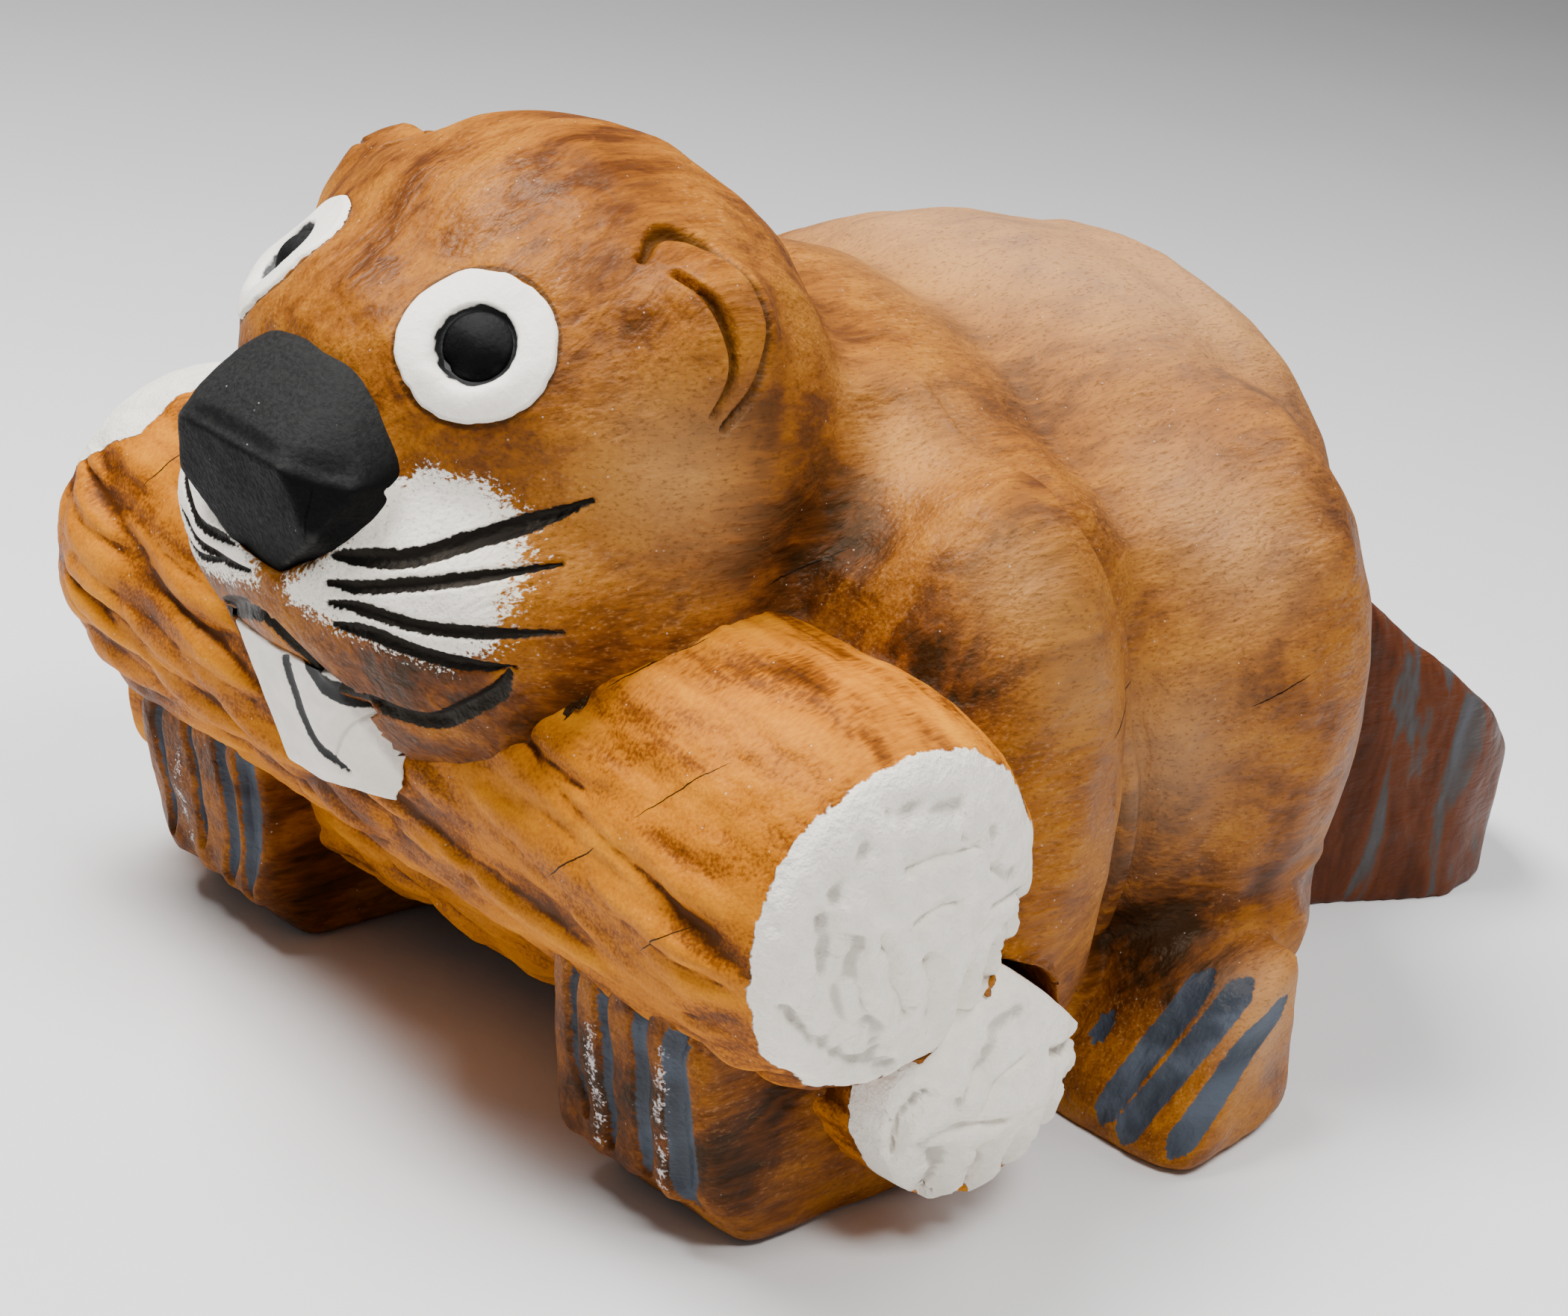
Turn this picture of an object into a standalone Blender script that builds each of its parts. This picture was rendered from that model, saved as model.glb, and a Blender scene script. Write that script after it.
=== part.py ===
"""A carved and painted wooden beaver lying over two logs, with a paw round each end.

+Z is up, the beaver looks along -Y and its left side is at +X. The carving stands on z = 0, and x = 0 is
the middle of its face. The beaver is modelled whole, as clay lumps fused and smoothed, and is then parted
into its named pieces by cuts as thin as GAP. All is moved back by MIDDLE_Y at the end, so that the origin
is in the middle of its length.
"""

import math

import bmesh
import bpy
from mathutils import Euler, Matrix, Vector

# Driving dimensions, in metres.
GAP = 0.0003
VOXEL = 0.006
SMOOTHING_ROUNDS = 22
BODY_TRIANGLES = 2600
BELOW_FLOOR = -0.050
MIDDLE_Y = 0.050
SIDES = {"left": 1.0, "right": -1.0}

# The lumps of the body: centre, radii and turn about x, y and z in degrees. Those off the middle are for
# the left side and are mirrored to the right.
SKULL = ((0.0, -0.194, 0.300), (0.132, 0.112, 0.121), (0, 0, 0))
BROW = ((0.0, -0.240, 0.324), (0.107, 0.083, 0.062), (0, 0, 0))
JAW = ((0.0, -0.210, 0.236), (0.138, 0.114, 0.087), (0, 0, 0))
MUZZLE = ((0.0, -0.250, 0.252), (0.126, 0.088, 0.066), (0, 0, 0))
CHIN = ((0.0, -0.262, 0.200), (0.060, 0.045, 0.050), (0, 0, 0))
NECK = ((0.0, -0.065, 0.240), (0.155, 0.115, 0.118), (0, 0, 0))
BACK = ((0.0, 0.072, 0.188), (0.190, 0.165, 0.171), (0, 0, 0))
BELLY = ((0.0, 0.080, 0.070), (0.165, 0.150, 0.100), (0, 0, 0))
RUMP = ((0.0, 0.142, 0.200), (0.168, 0.105, 0.151), (0, 0, 0))
NAPE = ((0.060, -0.085, 0.270), (0.085, 0.075, 0.074), (0, 0, 0))
FLANK = ((0.090, 0.030, 0.165), (0.116, 0.090, 0.150), (0, 0, 0))
SHOULDER = ((0.120, -0.072, 0.218), (0.086, 0.095, 0.100), (0, 0, 0))
ARM = ((0.165, -0.092, 0.150), (0.070, 0.076, 0.165), (0, 0, 0))
HAUNCH = ((0.115, 0.093, 0.170), (0.107, 0.101, 0.152), (0, 0, 0))
HAUNCH_BASE = ((0.115, 0.093, 0.080), (0.104, 0.098, 0.090), (0, 0, 0))
EAR = ((0.098, -0.205, 0.354), (0.030, 0.034, 0.043), (0, 0, 0))

# Side outlines (y, z) of the paws and hind feet, the spans of x that they fill, and the angle by which
# the toes point outwards.
PAW_OUTLINE = ((-0.240, 0.128), (-0.256, 0.118), (-0.249, 0.068), (-0.232, 0.026), (-0.204, 0.000),
               (-0.040, 0.000), (-0.040, 0.060), (-0.150, 0.120))
PAW_SPAN = (0.105, 0.198)
FOOT_OUTLINE = ((-0.002, 0.000), (-0.002, 0.008), (0.044, 0.080), (0.084, 0.094), (0.104, 0.000))
FOOT_SPAN = (0.160, 0.264)
FOOT_SPLAY = 12.0

# The tail is a thick wedge: its half outline from above (half width, y), and (y, z) of its top at the
# root and at the tip.
TAIL_OUTLINE = ((0.085, 0.180), (0.110, 0.291), (0.141, 0.366), (0.132, 0.412), (0.092, 0.450))
TAIL_ROOT_TOP = (0.200, 0.239)
TAIL_TIP_TOP = (0.450, 0.058)

# The nose block, its corners given for the left side and the middle: the rim that stands in the face, the
# faceted front, and how deep the block is let into the head.
NOSE_RIM = ((0.0, -0.315, 0.342), (0.024, -0.315, 0.339), (0.042, -0.314, 0.326), (0.049, -0.314, 0.308),
            (0.048, -0.314, 0.286), (0.031, -0.314, 0.262), (0.010, -0.316, 0.247))
NOSE_FRONT = ((0.034, -0.352, 0.304), (0.055, -0.332, 0.300), (0.044, -0.342, 0.276), (0.010, -0.332, 0.250))
NOSE_SEAT = 0.030

# The two front teeth, one block that comes down over the log: its corners for the left side.
TEETH = ((0.030, -0.320, 0.214), (0.000, -0.322, 0.214), (0.012, -0.300, 0.155), (0.044, -0.272, 0.150),
         (0.050, -0.262, 0.214), (0.040, -0.250, 0.160))

# The eyes: the middle of the left disc, the way it faces, and the radii of the disc, of the round hole in
# it and of the domed pupil that stands in the hole. REACH is how far a cutting plug stands out of the face.
EYE_CENTRE = (0.058, -0.281, 0.352)
EYE_AIM = (0.55, -0.74, 0.38)
EYE_RADIUS = 0.0310
EYE_HOLE = 0.0165
PUPIL_RADIUS = 0.0140
PUPIL_HEIGHT = 0.008
EYE_DEPTH = 0.010
EYE_PROUD = 0.0006
EYE_REACH = 0.040
EYE_SIDES = 24
HOLE_SIDES = 16

# The logs: radius in the middle and at the tips, and (y, z) of the axis at each end. A log narrows over
# TAPER, its last stretch DOME is rounded off, and the white paint reaches in by WHITE.
LOG_SPAN = 0.512
LOG_UPPER = {"radius": 0.085, "tip": 0.068, "left": (-0.192, 0.170), "right": (-0.205, 0.173)}
LOG_LOWER = {"radius": 0.056, "tip": 0.055, "left": (-0.121, 0.079), "right": (-0.182, 0.092)}
LOG_TAPER = 0.070
LOG_DOME = 0.010
LOG_ROUNDING = 0.6
LOG_WHITE = 0.020
LOG_SIDES = 20

# The regions that part the body, each a centre and radii of a rounded one or corners of a boxed one.
HEAD_REGION = ((0.0, -0.215, 0.285), (0.170, 0.150, 0.165), (0, 0, 0))
NECK_REGION = ((0.0, -0.120, 0.290), (0.165, 0.110, 0.150), (0, 0, 0))
EAR_REGION = ((0.112, -0.205, 0.356), (0.030, 0.036, 0.045), (0, 0, 0))
HAUNCH_REGION = ((0.205, 0.092, 0.165), (0.110, 0.118, 0.158), (0, 0, 0))
PAW_REGION = ((0.060, -0.300, -0.020), (0.300, -0.165, 0.150))
ARM_REGION = ((0.128, -0.300, -0.020), (0.300, -0.004, 0.262))
FOOT_REGION = ((0.150, -0.060, -0.020), (0.300, 0.150, 0.096))
TAIL_REGION = ((-0.200, 0.236, -0.020), (0.200, 0.500, 0.300))

# Colours (red, green, blue) and roughness.
FINISHES = {
    "stained_wood": ((0.42, 0.17, 0.05), 0.65),
    "log_wood": ((0.55, 0.28, 0.06), 0.65),
    "tail_wood": ((0.16, 0.05, 0.03), 0.7),
    "white_paint": ((0.80, 0.77, 0.70), 0.6),
    "black_paint": ((0.012, 0.012, 0.013), 0.5),
}


def clear_scene():
    """Remove every object that the file opened with."""
    for item in list(bpy.data.objects):
        bpy.data.objects.remove(item, do_unlink=True)


def new_object(name, bm):
    """An object from a bmesh whose faces are turned outwards."""
    mesh = bpy.data.meshes.new(name)
    bmesh.ops.recalc_face_normals(bm, faces=bm.faces)
    bm.to_mesh(mesh)
    bm.free()
    item = bpy.data.objects.new(name, mesh)
    bpy.context.collection.objects.link(item)
    return item


def settle(item):
    """Apply the object's modifiers."""
    graph = bpy.context.evaluated_depsgraph_get()
    mesh = bpy.data.meshes.new_from_object(item.evaluated_get(graph))
    item.modifiers.clear()
    item.data = mesh


def copy_of(item, name):
    twin = bpy.data.objects.new(name, item.data.copy())
    bpy.context.collection.objects.link(twin)
    return twin


def grown(item, by=GAP):
    """A copy whose every face stands further out."""
    bm = bmesh.new()
    bm.from_mesh(item.data)
    bm.normal_update()
    shifts = [vert.normal * by * vert.calc_shell_factor() for vert in bm.verts]
    for vert, shift in zip(bm.verts, shifts):
        vert.co += shift
    return new_object(item.name + "_grown", bm)


def combine(item, other, operation):
    """Boolean the item with another, which is used up."""
    step = item.modifiers.new(operation, "BOOLEAN")
    step.operation = operation
    step.object = other
    settle(item)
    bpy.data.objects.remove(other, do_unlink=True)


def keep_largest(item):
    """Drop the crumbs that a cut leaves beside the main body."""
    bm = bmesh.new()
    bm.from_mesh(item.data)
    bmesh.ops.remove_doubles(bm, verts=bm.verts, dist=0.00001)
    islands = []
    left = set(bm.verts)
    while left:
        island = {left.pop()}
        edge_of_island = set(island)
        while edge_of_island:
            near = {edge.other_vert(vert) for vert in edge_of_island for edge in vert.link_edges}
            edge_of_island = near - island
            island |= near
        left -= island
        islands.append(island)
    main_island = max(islands, key=len)
    bmesh.ops.delete(bm, geom=[vert for vert in bm.verts if vert not in main_island], context="VERTS")
    bm.to_mesh(item.data)
    bm.free()


def mirrored(lump, side):
    """The lump on the side named."""
    (x, y, z), radii, (turn_x, turn_y, turn_z) = lump
    sign = SIDES[side]
    return (sign * x, y, z), radii, (turn_x, sign * turn_y, sign * turn_z)


def add_lump(bm, lump, detail=4):
    """One ellipsoid of clay."""
    centre, radii, turn = lump
    angles = Euler([math.radians(angle) for angle in turn])
    place = Matrix.LocRotScale(Vector(centre), angles, Vector(radii))
    bmesh.ops.create_icosphere(bm, subdivisions=detail, radius=1.0, matrix=place)


def add_prism(bm, first, second):
    """A solid between two outlines with the same number of corners."""
    ends = [[bm.verts.new(corner) for corner in outline] for outline in (first, second)]
    bm.faces.new(ends[0])
    bm.faces.new(ends[1])
    count = len(first)
    for here in range(count):
        after = (here + 1) % count
        bm.faces.new((ends[0][here], ends[0][after], ends[1][after], ends[1][here]))


def add_block(bm, outline, span, splay, side):
    """A paw or foot from its side outline, turned about its outer front corner."""
    sign = SIDES[side]
    corner = Vector((sign * span[1], outline[0][0], 0.0))
    turn = Matrix.Rotation(math.radians(sign * splay), 3, "Z")
    ends = []
    for x in span:
        ends.append([corner + turn @ (Vector((sign * x, y, z)) - corner) for y, z in outline])
    add_prism(bm, *ends)


def add_tail(bm):
    plan = list(TAIL_OUTLINE) + [(-x, y) for x, y in reversed(TAIL_OUTLINE)]
    (root_y, root_z), (tip_y, tip_z) = TAIL_ROOT_TOP, TAIL_TIP_TOP
    fall = (tip_z - root_z) / (tip_y - root_y)
    low = [(x, y, BELOW_FLOOR) for x, y in plan]
    high = [(x, y, root_z + fall * (y - root_y)) for x, y in plan]
    add_prism(bm, low, high)


def region_object(name, region, side="left"):
    """A cutter: rounded from (centre, radii, turn), or boxed from (low corner, high corner)."""
    bm = bmesh.new()
    if len(region) == 3:
        add_lump(bm, mirrored(region, side), 3)
    else:
        low, high = (Vector(corner) for corner in region)
        place = Matrix.LocRotScale((low + high) / 2, None, high - low)
        bmesh.ops.create_cube(bm, size=1.0, matrix=place)
        bmesh.ops.scale(bm, vec=(SIDES[side], 1.0, 1.0), verts=bm.verts)
    return new_object(name, bm)


def hull(name, corners, seat=0.0):
    """The convex block round some corners and their mirror images, let in along +y."""
    bm = bmesh.new()
    points = set()
    for x, y, z in corners:
        points |= {(x, y, z), (-x, y, z)}
        if seat:
            points |= {(x, y + seat, z), (-x, y + seat, z)}
    verts = [bm.verts.new(point) for point in sorted(points)]
    made = bmesh.ops.convex_hull(bm, input=verts)
    inner = [item for item in made["geom_interior"] if isinstance(item, bmesh.types.BMVert)]
    bmesh.ops.delete(bm, geom=inner, context="VERTS")
    return new_object(name, bm)


def fuse_body():
    """The whole beaver in one closed mesh, flat where it stands on the floor."""
    bm = bmesh.new()
    for lump in (SKULL, BROW, JAW, MUZZLE, CHIN, NECK, BACK, BELLY, RUMP):
        add_lump(bm, lump)
    for side in SIDES:
        for lump in (NAPE, SHOULDER, ARM, FLANK, HAUNCH, HAUNCH_BASE, EAR):
            add_lump(bm, mirrored(lump, side))
        add_block(bm, PAW_OUTLINE, PAW_SPAN, 0.0, side)
        add_block(bm, FOOT_OUTLINE, FOOT_SPAN, FOOT_SPLAY, side)
    add_tail(bm)
    body = new_object("trunk", bm)
    remesh = body.modifiers.new("fuse", "REMESH")
    remesh.mode = "VOXEL"
    remesh.voxel_size = VOXEL
    soften = body.modifiers.new("soften", "SMOOTH")
    soften.factor = 0.5
    soften.iterations = SMOOTHING_ROUNDS
    settle(body)
    thin = body.modifiers.new("thin", "DECIMATE")
    thin.ratio = BODY_TRIANGLES / (2 * len(body.data.polygons))
    settle(body)
    under = region_object("under_floor", ((-0.5, -0.5, -0.2), (0.5, 0.7, 0.0)))
    combine(body, under, "DIFFERENCE")
    return body


def log_axis(spec, x):
    """Where the middle of the log is at x."""
    share = (x + LOG_SPAN / 2) / LOG_SPAN
    right, left = spec["right"], spec["left"]
    return [here + (there - here) * share for here, there in zip(right, left)]


def log_radius(spec, x):
    """The log narrows towards its tips, and each tip is gnawed to a low dome."""
    inward = LOG_SPAN / 2 - abs(x)
    if inward >= LOG_TAPER:
        return spec["radius"]
    narrow = math.sin(math.pi / 2 * inward / LOG_TAPER)
    radius = spec["tip"] + (spec["radius"] - spec["tip"]) * narrow
    if inward < LOG_DOME:
        radius *= math.sqrt(1.0 - LOG_ROUNDING * ((LOG_DOME - inward) / LOG_DOME) ** 2)
    return radius


def log_solid(name, spec, stations):
    """A length of log through the stations along x."""
    bm = bmesh.new()
    rings = []
    for x in stations:
        middle_y, middle_z = log_axis(spec, x)
        radius = log_radius(spec, x)
        ring = []
        for step in range(LOG_SIDES):
            turn = math.tau * step / LOG_SIDES
            place = (x, middle_y + radius * math.cos(turn), middle_z + radius * math.sin(turn))
            ring.append(bm.verts.new(place))
        rings.append(ring)
    for first, second in zip(rings, rings[1:]):
        for step in range(LOG_SIDES):
            after = (step + 1) % LOG_SIDES
            bm.faces.new((first[step], first[after], second[after], second[step]))
    bm.faces.new(rings[0])
    bm.faces.new(rings[-1])
    return new_object(name, bm)


def make_log(name, spec):
    """One log in three pieces: the stained length and a white tip at each end."""
    half = LOG_SPAN / 2
    tip = [half, half - LOG_DOME / 8, half - LOG_DOME / 2, half - LOG_DOME, half - LOG_WHITE]
    edge = half - LOG_WHITE - GAP
    shoulder = [edge, half - 0.7 * LOG_TAPER, half - LOG_TAPER]
    middle = shoulder + [0.0] + [-x for x in reversed(shoulder)]
    pieces = [log_solid(name, spec, middle)]
    for side, sign in SIDES.items():
        pieces.append(log_solid(f"{name}_tip_{side}", spec, [sign * x for x in tip]))
    whole = log_solid(name + "_whole", spec, tip + middle[1:-1] + [-x for x in reversed(tip)])
    return pieces, whole


def make_eye(body, side):
    """A white disc that follows the face, with a hole that the domed pupil stands in."""
    sign = SIDES[side]
    centre = Vector((sign * EYE_CENTRE[0], EYE_CENTRE[1], EYE_CENTRE[2]))
    aim = Vector((sign * EYE_AIM[0], EYE_AIM[1], EYE_AIM[2])).normalized()
    turn = aim.to_track_quat("Z", "Y")

    def plug(name, radius, sides, depth):
        bm = bmesh.new()
        place = Matrix.LocRotScale(centre + aim * (EYE_REACH - depth) / 2, turn, Vector((1, 1, 1)))
        bmesh.ops.create_cone(bm, cap_ends=True, segments=sides, radius1=radius, radius2=radius,
                              depth=EYE_REACH + depth, matrix=place)
        return new_object(name, bm)

    disc = plug(f"eye_{side}", EYE_RADIUS, EYE_SIDES, EYE_DEPTH)
    socket = grown(disc)
    combine(disc, grown(body, EYE_PROUD), "INTERSECT")
    combine(disc, plug("hole", EYE_HOLE, HOLE_SIDES, 2 * EYE_DEPTH), "DIFFERENCE")
    combine(body, socket, "DIFFERENCE")

    bm = bmesh.new()
    place = Matrix.LocRotScale(centre, turn, Vector((PUPIL_RADIUS, PUPIL_RADIUS, PUPIL_HEIGHT)))
    bmesh.ops.create_uvsphere(bm, u_segments=14, v_segments=6, radius=1.0, matrix=place)
    pupil = new_object(f"pupil_{side}", bm)
    return disc, pupil


def paint(pieces, finish):
    colour, roughness = FINISHES[finish]
    material = bpy.data.materials.get(finish)
    if material is None:
        material = bpy.data.materials.new(finish)
        material.use_nodes = True
        shader = material.node_tree.nodes["Principled BSDF"]
        shader.inputs["Base Color"].default_value = (*colour, 1.0)
        shader.inputs["Roughness"].default_value = roughness
    for piece in pieces:
        piece.data.materials.clear()
        piece.data.materials.append(material)


def part_off(body, name, region, side="left"):
    """Take the part of the body inside the region as a piece of its own."""
    piece = copy_of(body, name)
    cutter = region_object("region", region, side)
    combine(body, grown(cutter), "DIFFERENCE")
    combine(piece, cutter, "INTERSECT")
    keep_largest(piece)
    return piece


def make_logs(body):
    """The two logs, let into the beaver, the lower one hollowed to fit under the upper."""
    upper, upper_whole = make_log("log_upper", LOG_UPPER)
    lower, lower_whole = make_log("log_lower", LOG_LOWER)
    for piece in lower:
        combine(piece, grown(upper_whole), "DIFFERENCE")
        keep_largest(piece)
    combine(body, grown(upper_whole), "DIFFERENCE")
    combine(body, grown(lower_whole), "DIFFERENCE")
    bpy.data.objects.remove(lower_whole, do_unlink=True)
    return [upper[0], lower[0]], upper[1:] + lower[1:], upper_whole


def main():
    clear_scene()
    body = fuse_body()
    logs, log_tips, upper_whole = make_logs(body)

    nose = hull("nose", NOSE_RIM + NOSE_FRONT, NOSE_SEAT)
    combine(body, grown(nose), "DIFFERENCE")
    teeth = hull("teeth", TEETH)
    combine(body, grown(teeth), "DIFFERENCE")
    combine(teeth, grown(upper_whole), "DIFFERENCE")
    keep_largest(teeth)
    bpy.data.objects.remove(upper_whole, do_unlink=True)

    discs, pupils, flesh = [], [], []
    for side in SIDES:
        disc, pupil = make_eye(body, side)
        discs.append(disc)
        pupils.append(pupil)
        flesh.append(part_off(body, f"ear_{side}", EAR_REGION, side))
    flesh.append(part_off(body, "head", HEAD_REGION))
    flesh.append(part_off(body, "neck", NECK_REGION))
    for side in SIDES:
        flesh.append(part_off(body, f"paw_{side}", PAW_REGION, side))
        flesh.append(part_off(body, f"arm_{side}", ARM_REGION, side))
        flesh.append(part_off(body, f"hind_foot_{side}", FOOT_REGION, side))
        flesh.append(part_off(body, f"haunch_{side}", HAUNCH_REGION, side))
    tail = part_off(body, "tail", TAIL_REGION)
    keep_largest(body)

    for piece in bpy.data.objects:
        piece.data.transform(Matrix.Translation((0.0, -MIDDLE_Y, 0.0)))

    paint(flesh + [body], "stained_wood")
    paint([tail], "tail_wood")
    paint(logs, "log_wood")
    paint(log_tips + discs + [teeth], "white_paint")
    paint(pupils + [nose], "black_paint")


main()
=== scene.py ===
"""Carves and paints the wooden beaver and its two logs round their construction solids.

The solids give every place: +Z is up, the beaver looks along -Y and its left side is at +X. The
beaver is one skin that replaces the solids of its wood. The eyes, nose, teeth, logs and white log tips
are pieces of their own. Grooves are strokes drawn on the front or on the side and laid onto the
surface.
"""

import math

import bmesh
import bpy
import numpy as np
from bpy.props import FloatProperty, FloatVectorProperty, IntProperty, PointerProperty
from mathutils import Matrix, Vector
from mathutils.bvhtree import BVHTree
from mathutils.kdtree import KDTree


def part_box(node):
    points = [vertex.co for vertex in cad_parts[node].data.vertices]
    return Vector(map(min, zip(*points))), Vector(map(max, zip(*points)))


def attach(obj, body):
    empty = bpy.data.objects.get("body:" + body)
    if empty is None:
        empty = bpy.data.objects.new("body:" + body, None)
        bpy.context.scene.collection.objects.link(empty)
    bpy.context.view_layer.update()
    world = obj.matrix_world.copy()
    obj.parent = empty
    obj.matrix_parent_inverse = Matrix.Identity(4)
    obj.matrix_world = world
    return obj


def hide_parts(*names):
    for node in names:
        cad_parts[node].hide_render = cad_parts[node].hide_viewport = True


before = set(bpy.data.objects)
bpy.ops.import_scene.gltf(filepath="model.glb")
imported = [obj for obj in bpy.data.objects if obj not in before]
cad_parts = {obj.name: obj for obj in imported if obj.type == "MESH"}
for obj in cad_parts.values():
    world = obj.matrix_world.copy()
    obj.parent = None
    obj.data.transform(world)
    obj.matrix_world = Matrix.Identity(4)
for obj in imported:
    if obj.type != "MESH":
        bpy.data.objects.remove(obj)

bl_info = {
    "name": "Carved Beaver",
    "version": (1, 0, 0),
    "blender": (4, 5, 0),
    "location": "View3D > Sidebar > Carving",
    "description": "Carves and paints a wooden beaver over two logs, round its construction solids",
    "category": "Object",
}

SIDES = {"left": 1.0, "right": -1.0}
FLESH = ["head", "neck", "trunk", "tail"]
FLESH += [f"{part}_{side}" for part in ("ear", "arm", "paw", "haunch", "hind_foot") for side in SIDES]
# How far the wood's solids are grown, so that they fuse across their seams.
OVERLAP = 0.0005

# Strokes of the gouge and brush: half width and points. Points on the front are (x, z) and points on the
# side are (y, z), for the left side unless the stroke names its own.
WHISKERS = {
    "left": (
        (0.0042, ((0.041, 0.269), (0.059, 0.273), (0.072, 0.277), (0.091, 0.291), (0.107, 0.304))),
        (0.0030, ((0.042, 0.258), (0.060, 0.262), (0.085, 0.271), (0.108, 0.281))),
        (0.0030, ((0.044, 0.250), (0.058, 0.253), (0.082, 0.252), (0.118, 0.257))),
        (0.0034, ((0.047, 0.242), (0.064, 0.244), (0.090, 0.240), (0.109, 0.241))),
    ),
    "right": (
        (0.0026, ((-0.010, 0.256), (-0.042, 0.252), (-0.066, 0.258), (-0.090, 0.268))),
        (0.0022, ((0.000, 0.248), (-0.021, 0.245), (-0.044, 0.243), (-0.075, 0.246), (-0.095, 0.252))),
        (0.0018, ((-0.024, 0.243), (-0.050, 0.236), (-0.085, 0.236))),
    ),
}
MOUTH = (
    (0.0058, ((-0.034, 0.216), (-0.020, 0.224), (-0.006, 0.229), (0.006, 0.231))),
    (0.0050, ((0.000, 0.231), (0.010, 0.227), (0.020, 0.220), (0.030, 0.211), (0.038, 0.207),
              (0.050, 0.206))),
    (0.0052, ((0.045, 0.207), (0.060, 0.206), (0.075, 0.207), (0.088, 0.216), (0.101, 0.228),
              (0.107, 0.238))),
    (0.0040, ((-0.034, 0.214), (-0.060, 0.207), (-0.088, 0.214), (-0.104, 0.232))),
)
CLAWS = (
    (0.0022, ((0.124, 0.116), (0.123, 0.097), (0.125, 0.069), (0.128, 0.041))),
    (0.0031, ((0.142, 0.118), (0.141, 0.100), (0.145, 0.075), (0.143, 0.033))),
    (0.0045, ((0.163, 0.118), (0.164, 0.100), (0.167, 0.069), (0.163, 0.025))),
    (0.0068, ((0.186, 0.110), (0.184, 0.098), (0.187, 0.069), (0.185, 0.022))),
    (0.0030, ((-0.177, 0.116), (-0.178, 0.092), (-0.174, 0.065), (-0.177, 0.036))),
    (0.0026, ((-0.152, 0.118), (-0.154, 0.101), (-0.147, 0.075), (-0.152, 0.040))),
    (0.0042, ((-0.128, 0.116), (-0.128, 0.100), (-0.121, 0.074), (-0.131, 0.028))),
    (0.0048, ((-0.111, 0.112), (-0.111, 0.098), (-0.109, 0.071), (-0.116, 0.026))),
)
# The knuckles over each paw, as (x, top).
FINGERS = ((0.116, 0.106), (0.134, 0.114), (0.154, 0.115), (0.176, 0.112))
# The toes are given in space, as (x, y, z).
TOES = (
    (0.0064, ((0.224, -0.011, 0.080), (0.223, -0.024, 0.065), (0.219, -0.038, 0.044),
              (0.213, -0.054, 0.010))),
    (0.0068, ((0.240, -0.004, 0.081), (0.239, -0.019, 0.066), (0.234, -0.036, 0.042),
              (0.226, -0.054, 0.006))),
    (0.0066, ((0.249, 0.015, 0.071), (0.253, -0.010, 0.058), (0.255, -0.029, 0.042),
              (0.249, -0.049, 0.010))),
    (0.0045, ((0.194, -0.038, 0.052), (0.194, -0.041, 0.046), (0.194, -0.044, 0.038))),
)
EAR_OUTER = ((-0.276, 0.390), (-0.262, 0.397), (-0.248, 0.394), (-0.241, 0.382), (-0.241, 0.366),
             (-0.249, 0.347), (-0.262, 0.333))
EAR_INNER = ((-0.272, 0.388), (-0.266, 0.378), (-0.262, 0.364), (-0.262, 0.350), (-0.267, 0.338))
# The rear edge of the left arm, from the neck down to the foot: behind it the wood steps in.
ARM_EDGE = ((0.068, -0.142, 0.344), (0.106, -0.131, 0.331), (0.150, -0.125, 0.315),
            (0.178, -0.120, 0.303), (0.193, -0.107, 0.279), (0.192, -0.074, 0.234),
            (0.194, -0.056, 0.184), (0.197, -0.049, 0.147), (0.190, -0.042, 0.103),
            (0.181, -0.037, 0.070))
# Where the jaw is thinner than its solid: middle, reach and depth.
JAW_TRIM = (
    ((0.112, -0.318, 0.212), 0.018, 0.004),
    ((0.130, -0.305, 0.222), 0.020, 0.006),
)
# Broad soft hollows behind the shoulder and over the foot.
VALLEYS = (
    (0.016, ((-0.190, 0.283), (-0.176, 0.300), (-0.160, 0.322))),
    (0.010, ((-0.040, 0.076), (-0.010, 0.090), (0.030, 0.100), (0.065, 0.099), (0.100, 0.086))),
)
CHALK = (
    (0.0016, ((0.135, 0.088), (0.137, 0.060), (0.137, 0.032))),
    (0.0018, ((0.178, 0.099), (0.177, 0.065), (0.175, 0.030))),
    (0.0016, ((-0.163, 0.088), (-0.162, 0.036))),
)
# The lip's lower edge over the teeth, as (x, z): above it the lip stands over the teeth.
LIP = ((-0.046, 0.212), (-0.030, 0.217), (-0.012, 0.226), (0.006, 0.227), (0.014, 0.221), (0.022, 0.214),
       (0.030, 0.206), (0.038, 0.202), (0.050, 0.202))
TEETH_LINE = (0.0030, ((0.014, 0.218), (0.007, 0.210), (0.008, 0.197), (0.009, 0.185), (0.013, 0.176),
                       (0.018, 0.171), (0.023, 0.163)))
# A crease down the teeth, where their front meets their side; the paint fills it with painted shade.
TEETH_CREASE = (0.0008, ((0.047, 0.206), (0.030, 0.186), (0.024, 0.176), (0.020, 0.168)))

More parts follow.
